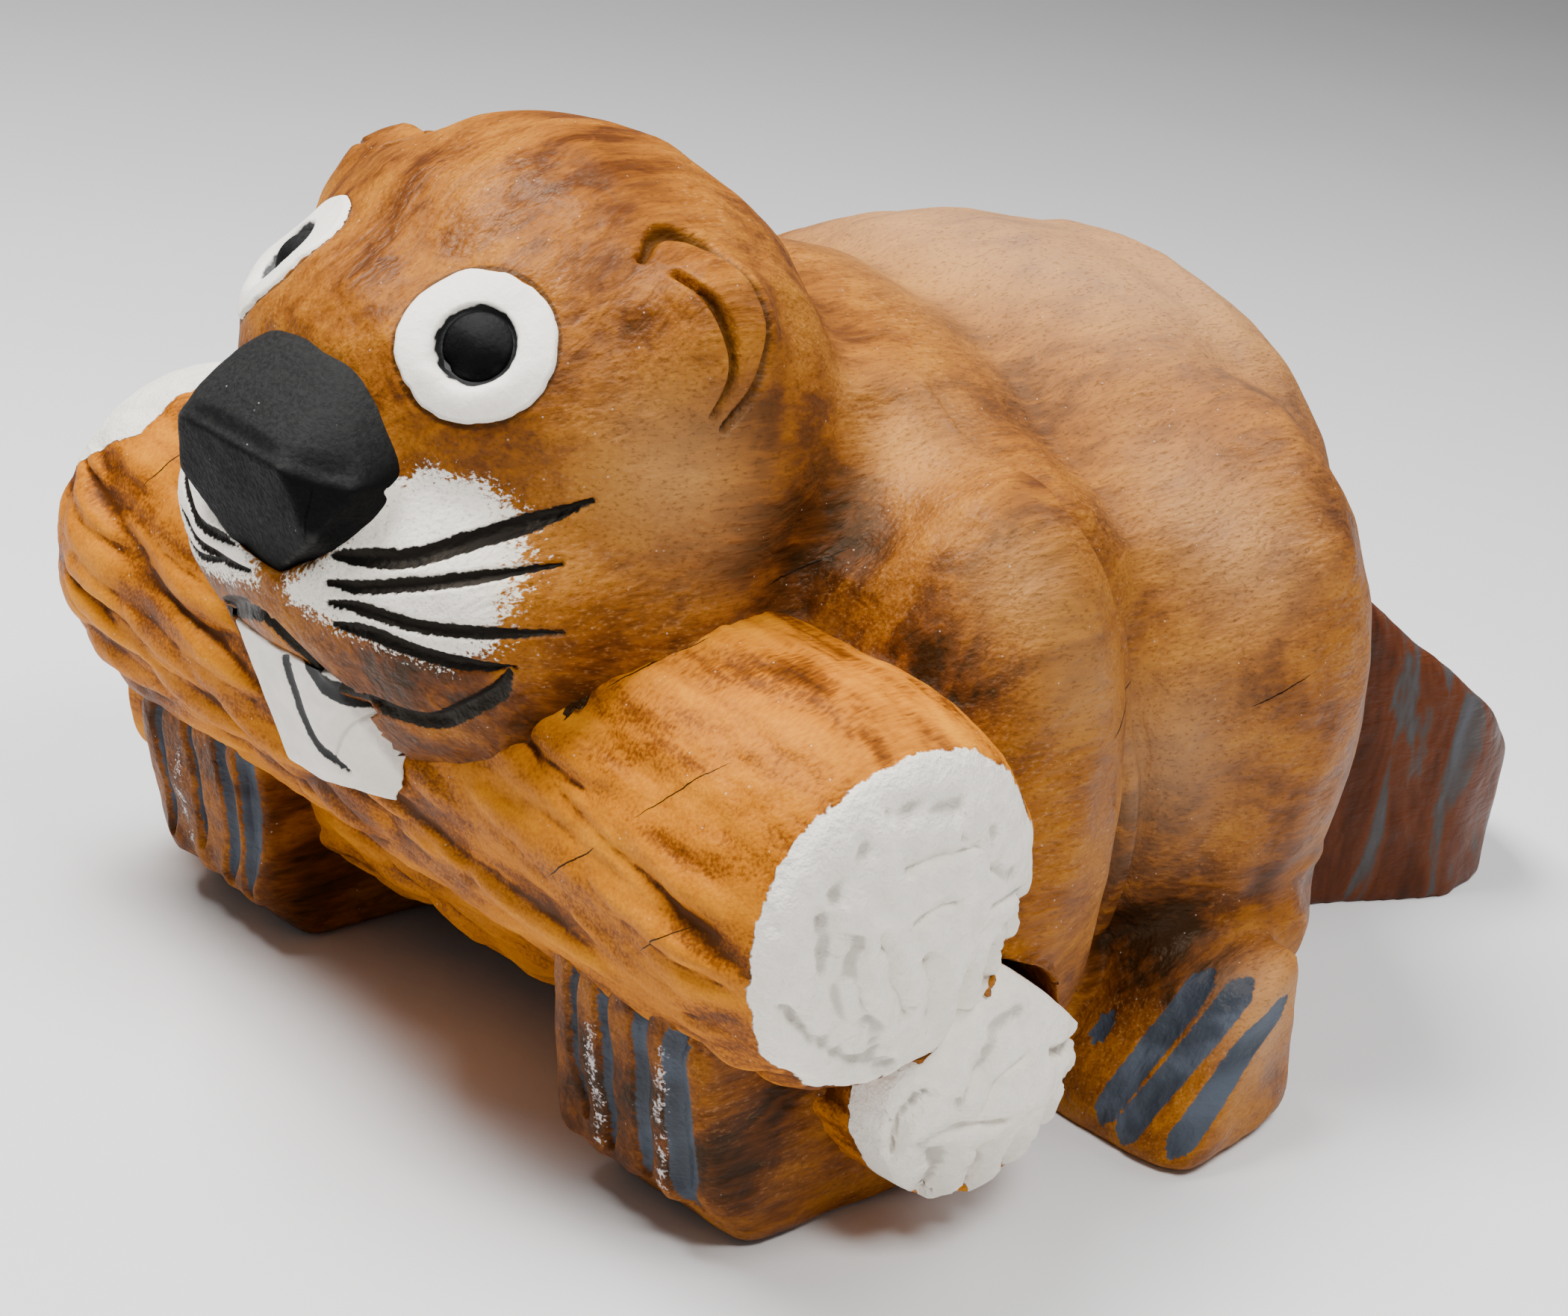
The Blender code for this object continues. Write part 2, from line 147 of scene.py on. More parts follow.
# Cuts in the log ends, as (y, z) from the middle of a tip: half width, depth, and points.
UPPER_TIP_CUTS = (
    (0.0022, 0.0035, ((-0.0275, 0.0545), (-0.0165, 0.0555), (0.0085, 0.0525))),
    (0.0026, 0.0040, ((-0.0385, 0.0445), (-0.0435, 0.0355), (-0.0515, 0.0255))),
    (0.0028, 0.0040, ((-0.0195, 0.0325), (-0.0025, 0.0345), (0.0195, 0.0345))),
    (0.0020, 0.0035, ((-0.0145, 0.0105), (-0.0035, 0.0155), (0.0065, 0.0145))),
    (0.0020, 0.0035, ((0.0285, 0.0065), (0.0405, 0.0055), (0.0585, 0.0035))),
    (0.0024, 0.0035, ((0.0085, 0.0405), (0.0325, 0.0365))),
    (0.0022, 0.0035, ((0.0275, 0.0225), (0.0475, 0.0155))),
    (0.0050, 0.0060, ((-0.0560, 0.0175), (-0.0520, 0.0000), (-0.0440, -0.0200), (-0.0320, -0.0400))),
    (0.0045, 0.0060, ((-0.0430, 0.0100), (-0.0380, -0.0100), (-0.0270, -0.0300), (-0.0130, -0.0520))),
    (0.0055, 0.0060, ((-0.0065, -0.0045), (0.0035, -0.0215), (0.0105, -0.0425))),
    (0.0040, 0.0050, ((-0.0300, 0.0080), (-0.0210, -0.0130), (-0.0080, -0.0320))),
    (0.0034, 0.0050, ((-0.0645, -0.0195), (-0.0475, -0.0365), (-0.0205, -0.0535), (0.0005, -0.0605))),
    (0.0055, 0.0085, ((0.0215, -0.0185), (0.0300, -0.0360), (0.0400, -0.0620))),
    (0.0050, 0.0085, ((0.0380, -0.0140), (0.0455, -0.0290), (0.0560, -0.0500))),
    (0.0045, 0.0075, ((0.0500, -0.0080), (0.0570, -0.0200), (0.0680, -0.0380))),
    (0.0035, 0.0065, ((0.0590, 0.0000), (0.0660, -0.0080), (0.0760, -0.0190))),
)
LOWER_TIP_CUTS = (
    (0.0022, 0.0035, ((-0.001, 0.040), (-0.016, 0.034), (-0.024, 0.021), (-0.034, 0.005))),
    (0.0022, 0.0035, ((-0.003, 0.020), (-0.016, 0.013), (-0.023, -0.001))),
    (0.0030, 0.0060, ((-0.052, -0.021), (-0.054, -0.003), (-0.047, 0.010))),
    (0.0026, 0.0040, ((-0.045, -0.016), (-0.032, -0.007), (-0.011, -0.006))),
    (0.0065, 0.0075, ((-0.038, -0.018), (-0.032, -0.030), (-0.026, -0.050))),
    (0.0060, 0.0085, ((-0.016, -0.018), (-0.010, -0.034), (-0.003, -0.056))),
    (0.0055, 0.0085, ((0.004, -0.018), (0.010, -0.034), (0.018, -0.056))),
    (0.0050, 0.0080, ((0.020, -0.011), (0.028, -0.026), (0.037, -0.046))),
    (0.0045, 0.0070, ((0.032, 0.000), (0.042, -0.010), (0.054, -0.022))),
    (0.0035, 0.0070, ((0.016, 0.016), (0.034, 0.010), (0.052, 0.006))),
)

LOGS = ("log_upper", "log_lower")

# Drying cracks: start, end, way out of the surface, and width.
LOG_CRACKS = (
    ((0.120, -0.300, 0.226), (0.135, -0.262, 0.246), (0.2, -0.75, 0.6), 0.0005),
    ((0.085, -0.325, 0.205), (0.100, -0.305, 0.225), (0.1, -0.9, 0.4), 0.0005),
    ((0.165, -0.318, 0.196), (0.190, -0.292, 0.222), (0.2, -0.8, 0.5), 0.0004),
    ((0.130, -0.330, 0.160), (0.152, -0.328, 0.182), (0.1, -0.98, 0.2), 0.0005),
    ((0.060, -0.325, 0.212), (0.072, -0.318, 0.220), (0.1, -0.9, 0.4), 0.0005),
    ((0.180, -0.326, 0.150), (0.205, -0.322, 0.172), (0.1, -0.98, 0.2), 0.0004),
    ((-0.110, -0.300, 0.235), (-0.100, -0.262, 0.255), (0.0, -0.75, 0.6), 0.0005),
    ((-0.170, -0.325, 0.215), (-0.158, -0.296, 0.240), (0.0, -0.85, 0.5), 0.0005),
)
SKIN_CRACKS = (
    ((0.197, -0.130, 0.200), (0.210, -0.070, 0.228), (0.95, 0.0, 0.3), 0.0008),
    ((0.120, -0.225, 0.262), (0.128, -0.190, 0.275), (0.9, -0.3, 0.3), 0.0006),
    ((0.203, 0.000, 0.200), (0.205, 0.030, 0.212), (0.95, 0.0, 0.3), 0.0005),
    ((0.030, -0.360, 0.262), (0.052, -0.350, 0.232), (0.2, -0.95, 0.1), 0.0005),
    ((0.052, -0.350, 0.222), (0.066, -0.335, 0.205), (0.4, -0.9, 0.0), 0.0005),
)
NOSE_CRACKS = (
    ((0.019, -0.401, 0.306), (-0.005, -0.391, 0.273), (0.0, -0.95, -0.2), 0.0005),
    ((-0.006, -0.401, 0.302), (-0.026, -0.391, 0.273), (0.0, -0.95, -0.2), 0.0005),
    ((0.044, -0.393, 0.300), (0.042, -0.393, 0.274), (0.2, -0.95, 0.0), 0.0006),
    ((0.010, -0.396, 0.268), (0.006, -0.390, 0.256), (0.0, -0.95, -0.2), 0.0005),
)

# The cheek patches of white paint, seen from the front.
CHEEKS = {
    "left": ((0.050, 0.296), (0.062, 0.308), (0.078, 0.306), (0.092, 0.294), (0.104, 0.274),
             (0.103, 0.248), (0.088, 0.238), (0.060, 0.241), (0.024, 0.244), (0.020, 0.251),
             (0.037, 0.266)),
    "right": ((-0.050, 0.296), (-0.062, 0.310), (-0.083, 0.309), (-0.099, 0.296), (-0.108, 0.270),
              (-0.100, 0.240), (-0.060, 0.230), (-0.022, 0.236), (0.006, 0.246), (0.004, 0.252)),
}

# Dark and pale clouds on the skin: middle, reach, strength.
# The dark clouds: partly darker stain, partly painted shade under the logs and haunches and behind the
# jaw.
DARK_STAIN_AND_SHADE = (
    ((0.060, -0.350, 0.215), 0.045, 0.7),
    ((-0.060, -0.350, 0.215), 0.050, 0.8),
    ((0.085, -0.335, 0.322), 0.022, 0.45),
    ((0.155, -0.190, 0.275), 0.036, 0.9),
    ((0.206, -0.190, 0.240), 0.024, 0.8),
    ((0.222, -0.176, 0.212), 0.022, 0.6),
    ((-0.170, -0.190, 0.270), 0.060, 0.7),
    ((0.122, -0.305, 0.240), 0.026, 0.7),
    ((0.134, -0.262, 0.262), 0.036, 0.8),
    ((0.202, -0.022, 0.060), 0.042, 0.9),
    ((0.206, -0.005, 0.100), 0.030, 0.6),
    ((0.198, -0.265, 0.060), 0.055, 1.0),
    ((0.140, -0.290, 0.060), 0.050, 0.7),
    ((-0.150, -0.260, 0.060), 0.070, 0.8),
    ((0.166, -0.081, 0.288), 0.022, 0.6),
)
# The pale clouds: paler patches on the back, the shoulders, the cheeks and the sides.
PALE_CLOUDS = (
    ((0.000, 0.020, 0.350), 0.110, 0.9),
    ((0.000, 0.110, 0.330), 0.110, 0.9),
    ((0.161, -0.019, 0.283), 0.035, 0.5),
    ((0.187, 0.012, 0.262), 0.035, 0.5),
    ((0.198, -0.046, 0.184), 0.028, 0.5),
    ((0.121, -0.282, 0.318), 0.034, 1.0),
    ((0.112, -0.255, 0.285), 0.026, 0.5),
    ((0.200, -0.160, 0.282), 0.026, 0.8),
    ((0.221, -0.136, 0.240), 0.026, 0.7),
    ((0.186, -0.030, 0.180), 0.050, 0.4),
    ((0.124, -0.151, 0.316), 0.035, 0.6),
    ((0.251, 0.002, 0.066), 0.028, 0.9),
)


class SkinSettings(bpy.types.PropertyGroup):
    voxel: FloatProperty(
        name="Voxel", description="Mesh size of the fused skin", default=0.0042, unit="LENGTH")
    smoothing: IntProperty(
        name="Smoothing", description="Rounds of smoothing over the facets", default=26)
    groove: FloatProperty(
        name="Groove Depth", description="Depth of whisker and claw grooves",
        default=0.0022, unit="LENGTH")
    arm_step: FloatProperty(
        name="Arm Step", description="Depth of the step behind each arm", default=0.0075, unit="LENGTH")
    tool_marks: FloatProperty(
        name="Tool Marks", description="Height of the flats that the tools left",
        default=0.0024, unit="LENGTH")


class LogSettings(bpy.types.PropertyGroup):
    mesh_size: FloatProperty(
        name="Mesh Size", description="Spacing of the points on a log", default=0.0022, unit="LENGTH")
    gouge_depth: FloatProperty(
        name="Gouge Depth", description="Depth of the gouge cuts", default=0.0085, unit="LENGTH")
    gouge_length: FloatProperty(
        name="Gouge Length", description="Length of one gouge cut", default=0.075, unit="LENGTH")
    gouge_width: FloatProperty(
        name="Gouge Width", description="Width of one gouge cut", default=0.0165, unit="LENGTH")
    white_reach: FloatProperty(
        name="White Reach", description="How far the white paint runs in from a log's end",
        default=0.013, unit="LENGTH")


class PaintSettings(bpy.types.PropertyGroup):
    stain: FloatVectorProperty(
        name="Stain", description="Middle colour of the beaver's stain", subtype="COLOR",
        default=(0.230, 0.070, 0.0046))
    log_stain: FloatVectorProperty(
        name="Log Stain", description="Middle colour of the logs' stain", subtype="COLOR",
        default=(0.42, 0.128, 0.0013))
    white: FloatVectorProperty(
        name="White", description="Thick cream paint", subtype="COLOR", default=(0.92, 0.86, 0.76))
    black: FloatVectorProperty(
        name="Black", description="Black paint", subtype="COLOR", default=(0.0036, 0.0036, 0.0038))
    claw: FloatVectorProperty(
        name="Claw", description="Blue-grey paint of the claws", subtype="COLOR",
        default=(0.040, 0.050, 0.066))


class StageSettings(bpy.types.PropertyGroup):
    floor_colour: FloatVectorProperty(
        name="Floor", description="Colour of the floor", subtype="COLOR", default=(0.82, 0.82, 0.82))
    key_power: FloatProperty(
        name="Key Light", description="Power of the key light in watts", default=86.0)
    world_strength: FloatProperty(name="World", description="Strength of the even light", default=0.19)


# ---------------------------------------------------------------- meshes


def new_piece(name, mesh_or_bm):
    """An object that holds a finished mesh, at the origin."""
    mesh = mesh_or_bm
    if isinstance(mesh_or_bm, bmesh.types.BMesh):
        mesh = bpy.data.meshes.new(name)
        mesh_or_bm.to_mesh(mesh)
        mesh_or_bm.free()
    mesh.shade_smooth()
    piece = bpy.data.objects.new(name, mesh)
    bpy.context.scene.collection.objects.link(piece)
    return piece


def add_node_solid(bm, node, grow):
    """Adds a copy of a construction solid, merged into a closed mesh and grown."""
    part = bmesh.new()
    part.from_mesh(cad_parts[node].data)
    bmesh.ops.remove_doubles(part, verts=part.verts, dist=0.00002)
    bmesh.ops.recalc_face_normals(part, faces=part.faces)
    part.normal_update()
    shifts = [vert.normal * grow for vert in part.verts]
    for vert, shift in zip(part.verts, shifts):
        vert.co += shift
    mesh = bpy.data.meshes.new("solid")
    part.to_mesh(mesh)
    part.free()
    bm.from_mesh(mesh)
    bpy.data.meshes.remove(mesh)


def closed_mesh(name, verts, faces):
    """A mesh from points and faces, with every face turned outwards."""
    mesh = bpy.data.meshes.new(name)
    mesh.from_pydata(verts, [], faces)
    bm = bmesh.new()
    bm.from_mesh(mesh)
    bmesh.ops.recalc_face_normals(bm, faces=bm.faces)
    bm.to_mesh(mesh)
    bm.free()
    return mesh


def apply_modifiers(piece):
    """Turns what the modifiers make into the piece's plain mesh."""
    graph = bpy.context.evaluated_depsgraph_get()
    mesh = bpy.data.meshes.new_from_object(piece.evaluated_get(graph))
    piece.modifiers.clear()
    old = piece.data
    piece.data = mesh
    bpy.data.meshes.remove(old)


def positions(mesh):
    """The vertex places, one row each."""
    co = np.empty(len(mesh.vertices) * 3)
    mesh.vertices.foreach_get("co", co)
    return co.reshape(-1, 3)


def move_to(mesh, places):
    """Puts every vertex in a new place."""
    mesh.vertices.foreach_set("co", places.ravel())
    mesh.update()


def store(mesh, name, values):
    """Keeps one number for each vertex, for the materials."""
    attribute = mesh.attributes.get(name) or mesh.attributes.new(name, "FLOAT", "POINT")
    attribute.data.foreach_set("value", np.asarray(values, np.float32))


def normals_of(mesh):
    """The way out of the surface at each vertex, one row each."""
    normals = np.empty(len(mesh.vertices) * 3)
    mesh.vertices.foreach_get("normal", normals)
    return normals.reshape(-1, 3)


def evened(mesh, shares):
    """The vertex places after rounds of smoothing, each by its own share towards the neighbours."""
    places = positions(mesh)
    edges = np.empty(len(mesh.edges) * 2, int)
    mesh.edges.foreach_get("vertices", edges)
    first, second = edges.reshape(-1, 2).T
    size = len(places)
    count = np.bincount(first, minlength=size) + np.bincount(second, minlength=size)
    count = np.maximum(count, 1)[:, None]
    for share in shares:
        total = np.empty_like(places)
        for axis in range(3):
            total[:, axis] = np.bincount(first, places[second, axis], size)
            total[:, axis] += np.bincount(second, places[first, axis], size)
        places = places + share * (total / count - places)
    return places


def hollow_of(mesh, rounds):
    """How deep each vertex lies under its smoothed surroundings, in metres."""
    return ((evened(mesh, [0.5] * rounds) - positions(mesh)) * normals_of(mesh)).sum(1)


def smooth_facets(piece, rounds):
    """Wears the facets off a mesh without shrinking it."""
    move_to(piece.data, evened(piece.data, [0.5, -0.52] * rounds))


def outline_distance(points, outline):
    """Signed distance in a plane to a closed outline, negative inside."""
    outline = np.asarray(outline)
    nearest = np.full(len(points), 9.0)
    inside = np.zeros(len(points), bool)
    for start, end in zip(outline, np.roll(outline, -1, 0)):
        along = end - start
        share = np.clip(((points - start) @ along) / (along @ along), 0, 1)
        nearest = np.minimum(nearest, np.linalg.norm(points - start - share[:, None] * along, axis=1))
        crosses = (start[1] > points[:, 1]) != (end[1] > points[:, 1])
        rise = along[1] if along[1] else 1e-12
        inside ^= crosses & (points[:, 0] < start[0] + along[0] * (points[:, 1] - start[1]) / rise)
    return np.where(inside, -nearest, nearest)


def cloud_sum(points, clouds):
    """Soft round clouds, each fading out over its reach."""
    total = np.zeros(len(points))
    for middle, reach, strength in clouds:
        away = np.linalg.norm(points - np.array(middle), axis=1) / reach
        total += strength * np.exp(-away ** 2)
    return np.clip(total, 0, 1)


# ---------------------------------------------------------------- strokes


def tree_of(points):
    """A tree that finds the nearest of some points, and its number among them."""
    tree = KDTree(len(points))
    for index, point in enumerate(points):
        tree.insert(point, index)
    tree.balance()
    return tree


def curve_through(points, spacing=0.0025):
    """Evenly spaced points on a smooth curve through the given ones."""
    points = [Vector(point) for point in points]
    ends = [2 * points[0] - points[1]] + points + [2 * points[-1] - points[-2]]
    found = []
    for before, start, end, after in zip(ends, ends[1:], ends[2:], ends[3:]):
        steps = max(2, int((end - start).length / spacing))
        for step in range(steps):
            t = step / steps
            bend = (2 * before - 5 * start + 4 * end - after) * t * t
            twist = (3 * start - before - 3 * end + after) * t * t * t
            found.append(0.5 * (2 * start + (end - before) * t + bend + twist))
    return found + [points[-1]]


class Strokes:
    """Gathers strokes laid onto a surface, as one wire mesh that also holds each point's half width."""

    def __init__(self, name, tree):
        self.name = name
        self.tree = tree
        self.points = []
        self.edges = []
        self.widths = []

    def add(self, points, half_width, start_taper=0.35, end_taper=0.35):
        """A run of points on the surface, its ends drawn to a point over a share of its length."""
        first = len(self.points)
        last = max(len(points) - 1, 1)
        for step, point in enumerate(points):
            share = step / last
            opening = 0.45 + share / max(start_taper, 0.01)
            closing = 0.3 + (1 - share) / max(end_taper, 0.01)
            self.points.append(point)
            self.widths.append(half_width * min(1.0, opening, closing))
            if step:
                self.edges.append((first + step - 1, first + step))

    def lay(self, points, half_width, view, side=1.0, **tapers):
        """A stroke given in the front view as (x, z), or in a side view as (y, z)."""
        found = []
        for point in curve_through([(*point, 0.0) for point in points]):
            if view == "front":
                start, aim = Vector((side * point.x, -0.6, point.y)), Vector((0, 1, 0))
            else:
                start, aim = Vector((side * 0.6, point.x, point.y)), Vector((-side, 0, 0))
            hit = self.tree.ray_cast(start, aim)[0]
            if hit is not None:
                found.append(hit)
        if len(found) > 1:
            self.add(found, half_width, **tapers)

    def snap(self, points, half_width, **tapers):
        """A stroke given in space, drawn onto the nearest surface."""
        found = [self.tree.find_nearest(point)[0] for point in curve_through(points)]
        self.add(found, half_width, **tapers)

    def ring(self, centre, aim, radius, half_width, steps=72):
        """A round stroke on the surface about an axis."""
        across = aim.orthogonal().normalized()
        upright = aim.cross(across)
        found = []
        for step in range(steps + 1):
            turn = math.tau * step / steps
            start = centre + (across * math.cos(turn) + upright * math.sin(turn)) * radius + aim * 0.05
            hit = self.tree.ray_cast(start, -aim)[0]
            if hit is not None:
                found.append(hit)
        self.add(found, half_width, 0.0, 0.0)

    def wire(self):
        """The wire object that a carving tree follows."""
        mesh = bpy.data.meshes.new(self.name)
        mesh.from_pydata(self.points, self.edges, [])
        store(mesh, "half_width", self.widths)
        item = bpy.data.objects.new(self.name, mesh)
        bpy.context.scene.collection.objects.link(item)
        item.hide_render = True
        return item


def carve(piece, material, cuts):
    """Cuts groups of strokes into a piece, each with its own depth, shoulder and name."""
    carving = carving_tree()
    wires = []
    for strokes, values in cuts:
        wires.append(strokes.wire())
        run_tree(piece, carving, strokes=wires[-1], material=material, **values)
    apply_modifiers(piece)
    for wire in wires:
        bpy.data.objects.remove(wire)


# ---------------------------------------------------------------- node trees


class Graph:
    """Adds nodes to a tree and joins them, in one line each."""

    def __init__(self, tree):
        self.tree = tree

    def add(self, kind, inputs=None, **settings):
        node = self.tree.nodes.new(kind)
        for key, value in settings.items():
            setattr(node, key, value)
        for key, value in (inputs or {}).items():
            self.feed(node.inputs[key], value)
        return node

    def feed(self, socket, value):
        if isinstance(value, bpy.types.NodeSocket):
            self.tree.links.new(value, socket)
        elif isinstance(value, bpy.types.Node):
            self.tree.links.new(value.outputs[0], socket)
        else:
            socket.default_value = value

    def math(self, operation, first, second=0.0):
        return self.add("ShaderNodeMath", {0: first, 1: second}, operation=operation).outputs[0]

    def plus(self, first, second):
        return self.math("ADD", first, second)

    def minus(self, first, second):
        return self.math("SUBTRACT", first, second)

    def times(self, first, second):
        return self.math("MULTIPLY", first, second)

    def over(self, first, second):
        return self.math("DIVIDE", first, second)

    def total(self, first, *terms):
        for term in terms:
            first = self.plus(first, term)
        return first

    def centred(self, noise, strength):
        """A noise made to swing evenly about nought."""
        return self.times(self.minus(noise, 0.5), strength)

    def vector(self, operation, first, second=(0.0, 0.0, 0.0), scale=1.0):
        inputs = {0: first, "Scale": scale} if operation == "SCALE" else {0: first, 1: second}
        return self.add("ShaderNodeVectorMath", inputs, operation=operation).outputs[0]

    def dot(self, first, second):
        inputs = {0: first, 1: second}
        return self.add("ShaderNodeVectorMath", inputs, operation="DOT_PRODUCT").outputs["Value"]

    def split(self, vector):
        """A vector's X, Y and Z."""
        return self.add("ShaderNodeSeparateXYZ", {0: vector}).outputs

    def joined(self, x, y=0.0, z=0.0):
        return self.add("ShaderNodeCombineXYZ", {0: x, 1: y, 2: z}).outputs[0]

    def cells(self, vector, smoothness):
        """The distance from the middle of the nearest cell, its borders softened."""
        inputs = {"Vector": vector, "Scale": 1.0, "Smoothness": smoothness}
        return self.add("ShaderNodeTexVoronoi", inputs, feature="SMOOTH_F1").outputs["Distance"]

    def fit(self, value, low, high, to_low=0.0, to_high=1.0, smooth=True):
        inputs = {0: value, 1: low, 2: high, 3: to_low, 4: to_high}
        kind = "SMOOTHSTEP" if smooth else "LINEAR"
        return self.add("ShaderNodeMapRange", inputs, interpolation_type=kind).outputs[0]

    def mix(self, share, first, second):
        """Two colours mixed. A colour is a socket or three numbers."""
        colours = [(*colour, 1.0) if isinstance(colour, tuple) else colour for colour in (first, second)]
        inputs = {"Factor": share, 6: colours[0], 7: colours[1]}
        return self.add("ShaderNodeMix", inputs, data_type="RGBA").outputs[2]

    def noise(self, vector, scale, detail=3.0, roughness=0.55, distortion=0.0):
        inputs = {"Vector": vector, "Scale": scale, "Detail": detail, "Roughness": roughness,
                  "Distortion": distortion}
        return self.add("ShaderNodeTexNoise", inputs).outputs[0]

    def keep(self, geometry, name, value):
        """Stores a number on each point of a geometry."""
        inputs = {0: geometry, "Name": name, "Value": value}
        return self.add("GeometryNodeStoreNamedAttribute", inputs, data_type="FLOAT", domain="POINT")

    def grain(self, vector, scale, turn, detail, roughness, distortion=0.0):
        """A noise drawn out along the wood's grain and turned with it."""
        drawn = self.add("ShaderNodeMapping", {0: vector, "Scale": scale, "Rotation": turn}).outputs[0]
        return self.noise(drawn, 1.0, detail, roughness, distortion)

    def ramp(self, value, stops):
        node = self.add("ShaderNodeValToRGB", {0: value})
        points = node.color_ramp.elements
        while len(points) < len(stops):
            points.new(0.5)
        for point, (place, colour) in zip(points, stops):
            point.position = place
            point.color = (*colour, 1.0)
        return node.outputs[0]


def geometry_tree(name, inputs):
    """A new Geometry Nodes tree with the named inputs, each a socket kind and a default."""
    tree = bpy.data.node_groups.new(name, "GeometryNodeTree")
    tree.interface.new_socket("Geometry", in_out="INPUT", socket_type="NodeSocketGeometry")
    tree.interface.new_socket("Geometry", in_out="OUTPUT", socket_type="NodeSocketGeometry")
    for label, (kind, default) in inputs.items():
        socket = tree.interface.new_socket(label, in_out="INPUT", socket_type=kind)
        if default is not None:
            socket.default_value = default
    graph = Graph(tree)
    return tree, graph, graph.add("NodeGroupInput").outputs


def finish_tree(graph, geometry):
    """Ends a tree in Realize Instances and Set Material."""
    realized = graph.add("GeometryNodeRealizeInstances", {0: geometry})
    surfaced = graph.add("GeometryNodeSetMaterial", {0: realized.outputs[0]})
    material = graph.add("NodeGroupInput").outputs["Material"]
    graph.feed(surfaced.inputs["Material"], material)
    graph.feed(graph.add("NodeGroupOutput").inputs[0], surfaced.outputs[0])


def carving_tree():
    """Cuts a groove along each edge of a wire, and keeps how far each point is from the stroke."""
    tree, graph, given = geometry_tree("Carve Along Strokes", {
        "Strokes": ("NodeSocketObject", None),
        "Depth": ("NodeSocketFloat", 0.002),
        "Shoulder": ("NodeSocketFloat", 0.001),
        "Sharpness": ("NodeSocketFloat", 0.0),
        "Name": ("NodeSocketString", "stroke"),
        "Material": ("NodeSocketMaterial", None),
    })
    strokes = graph.add("GeometryNodeObjectInfo", {"Object": given["Strokes"]}).outputs["Geometry"]
    near = graph.add("GeometryNodeProximity", {0: strokes}, target_element="EDGES").outputs["Distance"]
    nearest = graph.add("GeometryNodeSampleNearest", {0: strokes}, domain="POINT")
    width = graph.add("GeometryNodeInputNamedAttribute", {0: "half_width"}, data_type="FLOAT")
    sample = graph.add("GeometryNodeSampleIndex", {0: strokes, 1: width, "Index": nearest})
    half_width = sample.outputs[0]
    share = graph.over(near, graph.plus(half_width, given["Shoulder"]))
    soft = graph.fit(share, 0.0, 1.0, 1.0, 0.0)
    straight = graph.fit(share, 0.0, 1.0, 1.0, 0.0, smooth=False)
    cut = graph.plus(soft, graph.times(graph.minus(straight, soft), given["Sharpness"]))
    height = graph.times(graph.times(cut, given["Depth"]), -1.0)
    kept = graph.keep(given["Geometry"], given["Name"], graph.minus(near, half_width))
    shift = graph.vector("SCALE", graph.add("GeometryNodeInputNormal"), scale=height)
    finish_tree(graph, graph.add("GeometryNodeSetPosition", {0: kept, "Offset": shift}))
    return tree


